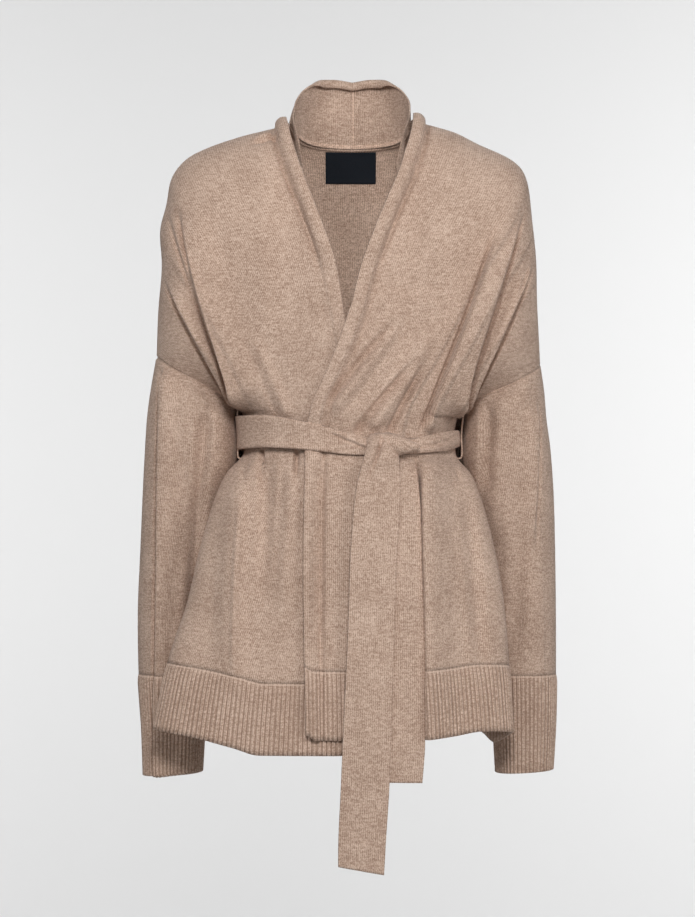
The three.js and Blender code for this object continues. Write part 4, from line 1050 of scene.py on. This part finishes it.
def sleeve_grid(side):
    """Rings of a sleeve from the armhole down, with columns to the right, and the armhole's normals."""
    built = panels()
    rows = built["rows"]

    def armhole(kind):
        front, back = (built[kind][name][: rows + 1] for name in (side, "back"))
        return np.concatenate([front[:, -1], back[1:-1, 0 if side == "left" else -1][::-1]])

    ring, ring_normal = armhole("grids"), armhole("normals")
    i = np.arange(2 * rows)
    half = np.sqrt(row_shares(rows))[np.where(i <= rows, i, 2 * rows - i)]
    angle = math.pi * half**SLEEVE_TURN
    face = np.where(i <= rows, -1, 1)
    bend = 2 / SLEEVE_ROUND
    rough = []
    for outer_up, inner_up, outer, inner, front, back in zip(*SLEEVE[side].values()):
        x = (outer + inner) / 2 + (outer - inner) / 2 * power(np.cos(angle), bend)
        y = (front + back) / 2 + face * (back - front) / 2 * power(np.sin(angle), bend)
        up = outer_up + (inner_up - outer_up) * ((outer - x) / (outer - inner))
        rough.append(np.stack([SIGN[side] * x, y, up], axis=1))
    key_rings = np.stack([ring, *rough])
    if side == "left":
        key_rings = np.concatenate([key_rings[:, :1], key_rings[:, 1:][:, ::-1]], axis=1)
        ring_normal = np.concatenate([ring_normal[:1], ring_normal[1:][::-1]])
    return key_rings, ring_normal


class CARDIGAN_OT_sleeves(bpy.types.Operator):
    """Knit the two sleeves down to the cuff"""

    bl_idname = "cardigan.sleeves"
    bl_label = "Sleeves"

    def execute(self, context):
        cloth = settings("cloth")
        for side in SIGN:
            rings, armhole_normals = sleeve_grid(side)
            fine = curve_through(rings.reshape(len(rings), -1), (len(rings) - 1) * RING_ROWS)
            fine = fine.reshape(len(fine), *rings.shape[1:])
            bare = grid_normals(fine, True)
            row = np.arange(len(fine))[:, None]
            seen = ramp(-bare[..., 1], *SLEEVE_SEEN) * ramp(row, 0, ARMHOLE_SEAM["plain_rows"])
            crease = fold_rise(SLEEVE_FOLDS, fine[..., 0], fine[..., 2]) * seen
            crease = np.where(np.sign(fine[..., 0]) == SIGN[side], crease, 0)
            dip = ARMHOLE_SEAM["dip"] * np.sin(math.pi * np.clip(row / ARMHOLE_SEAM["rows"], 0, 1))
            x, y, up = np.abs(fine[..., 0]), fine[..., 1], fine[..., 2]
            tuck = TUCK["depth"] * ramp(x, *TUCK["across"]) * ramp(y, *TUCK["back"])
            tuck = tuck * ramp(up, *TUCK["low"]) * ramp(up, *TUCK["high"])
            fine = fine + bare * (crease - dip)[..., None]
            fine[..., 0] -= SIGN[side] * tuck
            seam = (len(rings) - CUFF_RINGS) * RING_ROWS
            normals = grid_normals(fine, True)
            normals[0] = armhole_normals
            normals[seam] = unit(normals[seam] * [1, 1, 0])
            made[f"cuff_{side}"] = fine[seam:]
            grid = fine[: seam + 1]
            piece = sheet_piece(f"knit_sleeve_{side}", grid, normals[: seam + 1], cloth.knit / MM, True)
            declare(piece, f"sleeve_{side}", "knit")
        return {"FINISHED"}


class CARDIGAN_OT_ribs(bpy.types.Operator):
    """Knit the ribbed hem and cuffs"""

    bl_idname = "cardigan.ribs"
    bl_label = "Ribbed hem and cuffs"

    def execute(self, context):
        built = panels()
        levels = HEM_LEVEL + HEM_RIB - HEM_RIB * np.linspace(0, 1, RIB["rows"] + 1)
        for side in SIGN:
            shares = built["shares"]
            band = skirt_rows(lambda level: front_ring(level, side, shares), side, shares, levels)
            band = in_order(side, dress_front(side, band, shares))
            self.rib(f"rib_hem_{side}", f"hem_{side}", band, False, [f"front_{side}"])
            self.rib(f"rib_cuff_{side}", f"cuff_{side}", made[f"cuff_{side}"], True, [f"sleeve_{side}"])
        shares = built["back_shares"]
        band = skirt_rows(lambda level: back_ring(level, shares), "back", shares, levels)
        band = band + grid_normals(band) * fold_rise(BACK_FOLDS, band[..., 0], band[..., 2])[..., None]
        self.rib("rib_hem_back", "hem_back", band, False, ["back"])
        return {"FINISHED"}

    def rib(self, name, node, band, closed, rests_on):
        cloth = settings("cloth")
        even, normals, wave, width = into_ribs(band, closed, cloth.rib_pitch / MM, cloth.rib_rise / MM)
        rise = wave[None, :] * ramp(np.arange(len(even)), 0, RIB["start_rows"])[:, None]
        outer = even + normals * rise[..., None]
        piece = cloth_mesh(name, outer, even - normals * cloth.knit / MM, closed, width)
        declare(piece, node, "rib")


def inward(points):
    """Level directions from the collar towards the neck's middle."""
    return unit((np.array([NECK_SHIFT, 0, 0]) - points) * [1, 1, 0])


class CARDIGAN_OT_collar(bpy.types.Operator):
    """Shape the two halves of the shawl collar, joined at the centre back"""

    bl_idname = "cardigan.collar"
    bl_label = "Shawl collar"

    def execute(self, context):
        cloth = settings("cloth")
        for side in SIGN:
            near = np.linspace(0, COLLAR["near"], COLLAR["near_columns"] + 1)[:-1]
            shares = np.concatenate([near, np.linspace(COLLAR["near"], 1, COLLAR["columns"])])
            foot, rim = collar_foot(shares, side), collar_point(COLLAR_RIM, shares, side)
            rows = []
            for rise in np.linspace(0, 1, COLLAR["rows"] + 1):
                p = foot + (rim - foot) * rise
                hollow = COLLAR["hollow"] * math.sin(math.pi * rise) * (1 - shares)
                rows.append(p - inward(p) * hollow[:, None])
            radius = RIM_ROLL["radius"] * (1 - RIM_ROLL["thinner"] * ramp(shares, RIM_ROLL["thin_from"], 1))
            opened = ramp(shares, RIM_ROLL["thin_from"], RIM_ROLL["open_at"])
            turned = RIM_ROLL["turn"] + (RIM_ROLL["open_turn"] - RIM_ROLL["turn"]) * opened
            for part in np.linspace(0, 1, COLLAR["roll_rows"] + 1)[1:]:
                turn = np.radians(turned * part)
                p = rim + inward(rim) * (radius * (1 - np.cos(turn)))[:, None]
                p[:, 2] = rim[:, 2] + radius * np.sin(turn)
                rows.append(p)
            grid = np.stack(rows[::-1])
            middle = 0
            if side == "left":
                grid, shares, middle = grid[:, ::-1], shares[::-1], -1
            normals = grid_normals(grid)
            normals[:, middle] = unit(normals[:, middle] * [0, 1, 1])
            off = np.abs(grid[..., 0] - NECK_SHIFT)
            at_foot = ramp(np.arange(len(grid))[::-1], SEAM_RIDGE["rows"], 0)[:, None]
            at_foot = at_foot * ramp(shares, SEAM_RIDGE["from"], SEAM_RIDGE["full"])
            ridge = SEAM_RIDGE["rise"] * np.maximum(1 - ramp(off, 0, SEAM_RIDGE["width"]), at_foot)
            wall = (cloth.knit / MM + ridge)[..., None]
            piece = cloth_mesh(f"knit_collar_{side}", grid, grid - normals * wall)
            declare(piece, f"collar_{side}", "knit")
            # Painted highlight: faces along the seam ridges on the collar's inside are made brighter
            paint_light_inside(piece, grid, "seam", (ridge[1:, 1:] > SEAM_RIDGE["rise"] / 2).ravel())
        return {"FINISHED"}


class CARDIGAN_OT_belt(bpy.types.Operator):
    """Tie the belt: its turn round the waist, the knot, the two hanging ends and the loops"""

    bl_idname = "cardigan.belt"
    bl_label = "Belt"

    def execute(self, context):
        self.waist()
        self.hanging("long", LONG_END)
        self.hanging("short", SHORT_END)
        self.knot()
        for side in SIGN:
            self.loop(side)
        return {"FINISHED"}

    def waist(self):
        cloth = settings("cloth")
        step, count = BELT_GRID["step"], BELT_GRID["rows"]
        columns = np.arange(BELT_GRID["columns"])
        places = columns / (len(columns) // 2)
        ring = belt_ring(BELT_GRID["middle"], places)
        behind = ramp(ring[:, 1], BELT_BACK["from"], BELT_BACK["full"])
        ahead = {edge: track(BELT, "x", edge)(ring[:, 0]) for edge in ("top", "bottom")}
        top, bottom = (ahead[edge] * (1 - behind) + BELT_BACK[edge] * behind for edge in ahead)
        levels = np.arange(BELT_GRID["lowest"], WAIST_TOP + 1, step)
        rings = np.stack([belt_ring(level, places) for level in levels])
        rows = []
        for share in np.linspace(0, 1, count):
            up = top + (bottom - top) * share
            at = (np.minimum(up, WAIST_TOP) - levels[0]) / step
            i = np.clip(at.astype(int), 0, len(levels) - 2)
            part = (at - i)[:, None]
            p = rings[i, columns] * (1 - part) + rings[i + 1, columns] * part
            rows.append(np.column_stack([p, up]))
        grid = np.stack(rows)
        normals = grid_normals(grid, True)
        swell = BELT_SWELL * np.sin(math.pi * np.linspace(0, 1, count))[:, None]
        in_front = grid[..., 1] < 0
        lap = np.where(in_front, lap_rise(grid[..., 0], grid[..., 2]), 0)
        folded = np.where(in_front, fold_rise(BELT_FOLDS, grid[..., 0], grid[..., 2]), 0)
        rise = BELT_CLEAR + lap + cloth.belt / MM + swell + folded
        outer = grid + normals * rise[..., None]
        piece = sheet_piece("belt_turn", outer, normals, cloth.belt / MM, True)
        declare(piece, "belt_waist", "belt")

    def hanging(self, name, rows):
        cloth = settings("cloth")
        t = np.concatenate([[0], np.cumsum(np.abs(np.diff(rows["up"])) + END_GRID["least_step"])])
        fine = np.linspace(0, t[-1], END_GRID["rows"])
        keyed = {**rows, "t": t}
        at = {key: track(keyed, "t", key)(fine)[:, None] for key in rows}
        across = np.linspace(0, 1, END_GRID["columns"])[None, :]
        side = 2 * across - 1
        x = at["from"] + (at["to"] - at["from"]) * across
        low = ramp(at["up"], rows["up"][-1] + TAIL["slant_over"], rows["up"][-1])
        up = at["up"] - TAIL["slant"][name] * low * across
        tight = ramp(at["up"], TAIL["tight_to"], TAIL["tight_from"])
        round_off = (TAIL["round"] * tight + TAIL["edge"]) * np.abs(side) ** TAIL["edge_power"]
        off = side + TAIL["crease_at"] - TAIL["lean"] * (at["up"] - TAIL["tight_from"]) / TAIL["lean_over"]
        crease = TAIL["crease"] * tight * np.exp(-((off / TAIL["crease_width"]) ** 2))
        depth = front_depth(x, np.broadcast_to(at["up"], x.shape))
        grid = np.stack([x, depth - at["lift"] + round_off + crease, up], axis=-1)
        piece = sheet_piece(f"belt_tail_{name}", grid, grid_normals(grid), cloth.belt / MM)
        declare(piece, f"belt_end_{name}", "belt")

    def knot(self):
        """The turn of the belt that holds the knot: a rounded wedge, twisted towards the wearer's left."""
        k = KNOT
        polar = np.linspace(k["pole"], math.pi - k["pole"], k["rows"])[:, None]
        turn = np.linspace(0, 2 * math.pi, k["columns"], endpoint=False)[None, :]
        away = np.sin(polar) * np.cos(turn)
        narrow = 1 - k["narrowing"] * ramp(away, 0, 1)
        twist = k["twist"] * np.sin(k["turns"] * np.pi * away + k["skew"] * np.cos(polar))
        x = k["x"] + k["half_width"] * away
        y = k["y"] - (k["half_depth"] * narrow + twist) * np.sin(polar) * np.sin(turn)
        z = k["up"] + k["half_height"] * narrow * np.cos(polar)
        z = z - math.tan(math.radians(k["turn"])) * (x - k["x"])
        grid = np.stack([x, y, z], axis=-1)
        piece = sheet_piece("belt_tied_knot", grid, grid_normals(grid, True), k["wall"], True)
        declare(piece, "belt_knot", "belt")

    def loop(self, side):
        """A thread carrier that the belt runs through, at the side seam."""

        def body(up):
            ring = half_ring(min(up, WAIST_TOP), side)
            i = int(np.argmax(ring[:, 1] > LOOP["y"]))
            share = (LOOP["y"] - ring[i - 1, 1]) / (ring[i, 1] - ring[i - 1, 1])
            return abs(ring[i - 1, 0] + (ring[i, 0] - ring[i - 1, 0]) * share)

        top, bottom, stand = LOOP["top"], LOOP["bottom"], LOOP["stand"]
        middle = (top + bottom) / 2
        stops = (
            (top, LOOP["root"], LOOP["past"]),
            (top, stand, 0),
            (middle, stand + LOOP["bow"], 0),
            (bottom, stand, 0),
            (bottom, LOOP["root"], -LOOP["past"]),
        )
        points = np.array([(body(up) + away, up + past) for up, away, past in stops])
        line = curve_through(points, 40)
        path = np.stack([SIGN[side] * line[:, 0], np.full(len(line), LOOP["y"]), line[:, 1]], axis=1)
        piece = tube(f"belt_carrier_{side}", path, LOOP["cord"])
        place(piece, f"belt_loop_{side}", "belt")


def tube(name, path, radius, sides=12, bore=0.2):
    """A thin cord along a path in millimetres, with a fine bore."""
    ahead = unit(np.gradient(path, axis=0))
    side = unit(np.cross(ahead, [0, 1, 0]))
    up = np.cross(side, ahead)
    turn = np.linspace(0, 2 * math.pi, sides, endpoint=False)
    round_path = np.cos(turn)[:, None] * side[:, None] + np.sin(turn)[:, None] * up[:, None]
    rings = path[:, None] + radius * round_path
    return cloth_mesh(name, rings, path[:, None] + (rings - path[:, None]) * bore, True)


def back_depth(x, up):
    """Depth of the back at places across and heights near the neck."""
    rows = panels()["grids"]["back"][: LABEL["back_rows"], ::-1]
    y = np.array([np.interp(x, row[:, 0], row[:, 1]) for row in rows])
    z = np.array([np.interp(x, row[:, 0], row[:, 2]) for row in rows])
    return np.stack([np.interp(-up, -z[:, i], y[:, i]) for i in range(len(x))], axis=1)


class CARDIGAN_OT_label(bpy.types.Operator):
    """Sew in the bare neck label"""

    bl_idname = "cardigan.label"
    bl_label = "Neck label"

    def execute(self, context):
        cloth = settings("cloth")
        w, h = LABEL["width"], LABEL["height"]
        x = LABEL["x"] + w * (np.linspace(0, 1, LABEL["columns"]) - 0.5)
        up = LABEL["top"] - h * np.linspace(0, 1, LABEL["rows"])
        xx, zz = np.meshgrid(x, up)
        off = cloth.knit / MM + LABEL["thickness"] + LABEL["gap"]
        grid = np.stack([xx, back_depth(x, up) - off, zz], axis=-1)
        piece = sheet_piece("woven_label", grid, grid_normals(grid), LABEL["thickness"])
        declare(piece, "neck_label", "label")
        return {"FINISHED"}


def facing(at, aim):
    """Turns of a lamp at a place that lights towards its aim."""
    across, ahead, up = (b - a for a, b in zip(at, aim))
    return math.acos(-up / math.dist(at, aim)), 0, math.atan2(-across, ahead)


class CARDIGAN_OT_stage(bpy.types.Operator):
    """Set up the pale backdrop, the soft light and the camera"""

    bl_idname = "cardigan.stage"
    bl_label = "Stage"

    def execute(self, context):
        studio = settings("studio")
        self.backdrop(studio)
        self.lights()
        self.camera(studio)
        return {"FINISHED"}

    def backdrop(self, studio):
        b = BACKDROP
        start, low = b["wall"] - b["bend"], b["floor"] + b["bend"]
        profile = [(b["front"], b["floor"]), (start, b["floor"])]
        for turn in np.linspace(0, math.pi / 2, 16)[1:]:
            profile.append((start + b["bend"] * math.sin(turn), low - b["bend"] * math.cos(turn)))
        profile.append((b["wall"], b["top"]))
        verts = [(x, y, z) for y, z in profile for x in (-b["half_width"], b["half_width"])]
        faces = [(2 * i, 2 * i + 1, 2 * i + 3, 2 * i + 2) for i in range(len(profile) - 1)]
        mesh = bpy.data.meshes.new("backdrop")
        mesh.from_pydata(verts, [], faces)
        mesh.polygons.foreach_set("use_smooth", [True] * len(faces))
        paper = bpy.data.materials.new("backdrop_paper")
        paper.use_nodes = True
        shader = paper.node_tree.nodes["Principled BSDF"]
        shader.inputs["Base Color"].default_value = (*studio.backdrop, 1)
        shader.inputs["Roughness"].default_value = 1.0
        shader.inputs["Specular IOR Level"].default_value = 0.0
        mesh.materials.append(paper)
        link("backdrop", mesh)

    def lights(self):
        scene = bpy.context.scene
        world = bpy.data.worlds.new("studio")
        world.use_nodes = True
        sky = world.node_tree.nodes["Background"]
        sky.inputs["Color"].default_value = (1, 1, 1, 1)
        sky.inputs["Strength"].default_value = SKY
        scene.world = world
        scene.view_settings.view_transform = "Standard"
        for name, (at, aim, size, watts) in LAMPS.items():
            light = bpy.data.lights.new(name, "AREA")
            light.shape = "DISK"
            light.size = size
            light.energy = watts
            lamp = link(name, light)
            lamp.location = at
            lamp.rotation_euler = facing(at, aim)

    def camera(self, studio):
        data = bpy.data.cameras.new("camera")
        data.lens = studio.lens
        data.sensor_width = CAMERA["sensor"]
        data.clip_end = CAMERA["far"]
        camera = link("camera", data)
        camera.location = (CAMERA["x"], CAMERA["front"] - studio.distance, studio.height)
        camera.rotation_euler = (math.pi / 2, 0, 0)
        bpy.context.scene.camera = camera


class CARDIGAN_PT_panel(bpy.types.Panel):
    """Lists the pieces of the cardigan"""

    bl_idname = "CARDIGAN_PT_panel"
    bl_label = "Cardigan"
    bl_space_type = "VIEW_3D"
    bl_region_type = "UI"
    bl_category = "Cardigan"

    def draw(self, context):
        for operator in OPERATORS:
            self.layout.operator(operator.bl_idname)
        for kind, group in GROUPS.items():
            box = self.layout.box()
            for name in group.__annotations__:
                box.prop(settings(kind), name)


OPERATORS = (
    CARDIGAN_OT_stage,
    CARDIGAN_OT_back,
    CARDIGAN_OT_fronts,
    CARDIGAN_OT_sleeves,
    CARDIGAN_OT_ribs,
    CARDIGAN_OT_collar,
    CARDIGAN_OT_belt,
    CARDIGAN_OT_label,
)
CLASSES = (*GROUPS.values(), *OPERATORS, CARDIGAN_PT_panel)


def register():
    for cls in CLASSES:
        bpy.utils.register_class(cls)
    for kind, group in GROUPS.items():
        setattr(bpy.types.Scene, f"cardigan_{kind}", PointerProperty(type=group))


def unregister():
    for kind in GROUPS:
        delattr(bpy.types.Scene, f"cardigan_{kind}")
    for cls in reversed(CLASSES):
        bpy.utils.unregister_class(cls)


def main():
    register()
    bpy.ops.cardigan.stage()
    bpy.ops.cardigan.back()
    bpy.ops.cardigan.fronts()
    bpy.ops.cardigan.sleeves()
    bpy.ops.cardigan.ribs()
    bpy.ops.cardigan.collar()
    bpy.ops.cardigan.belt()
    bpy.ops.cardigan.label()


if __name__ == "__main__":
    main()
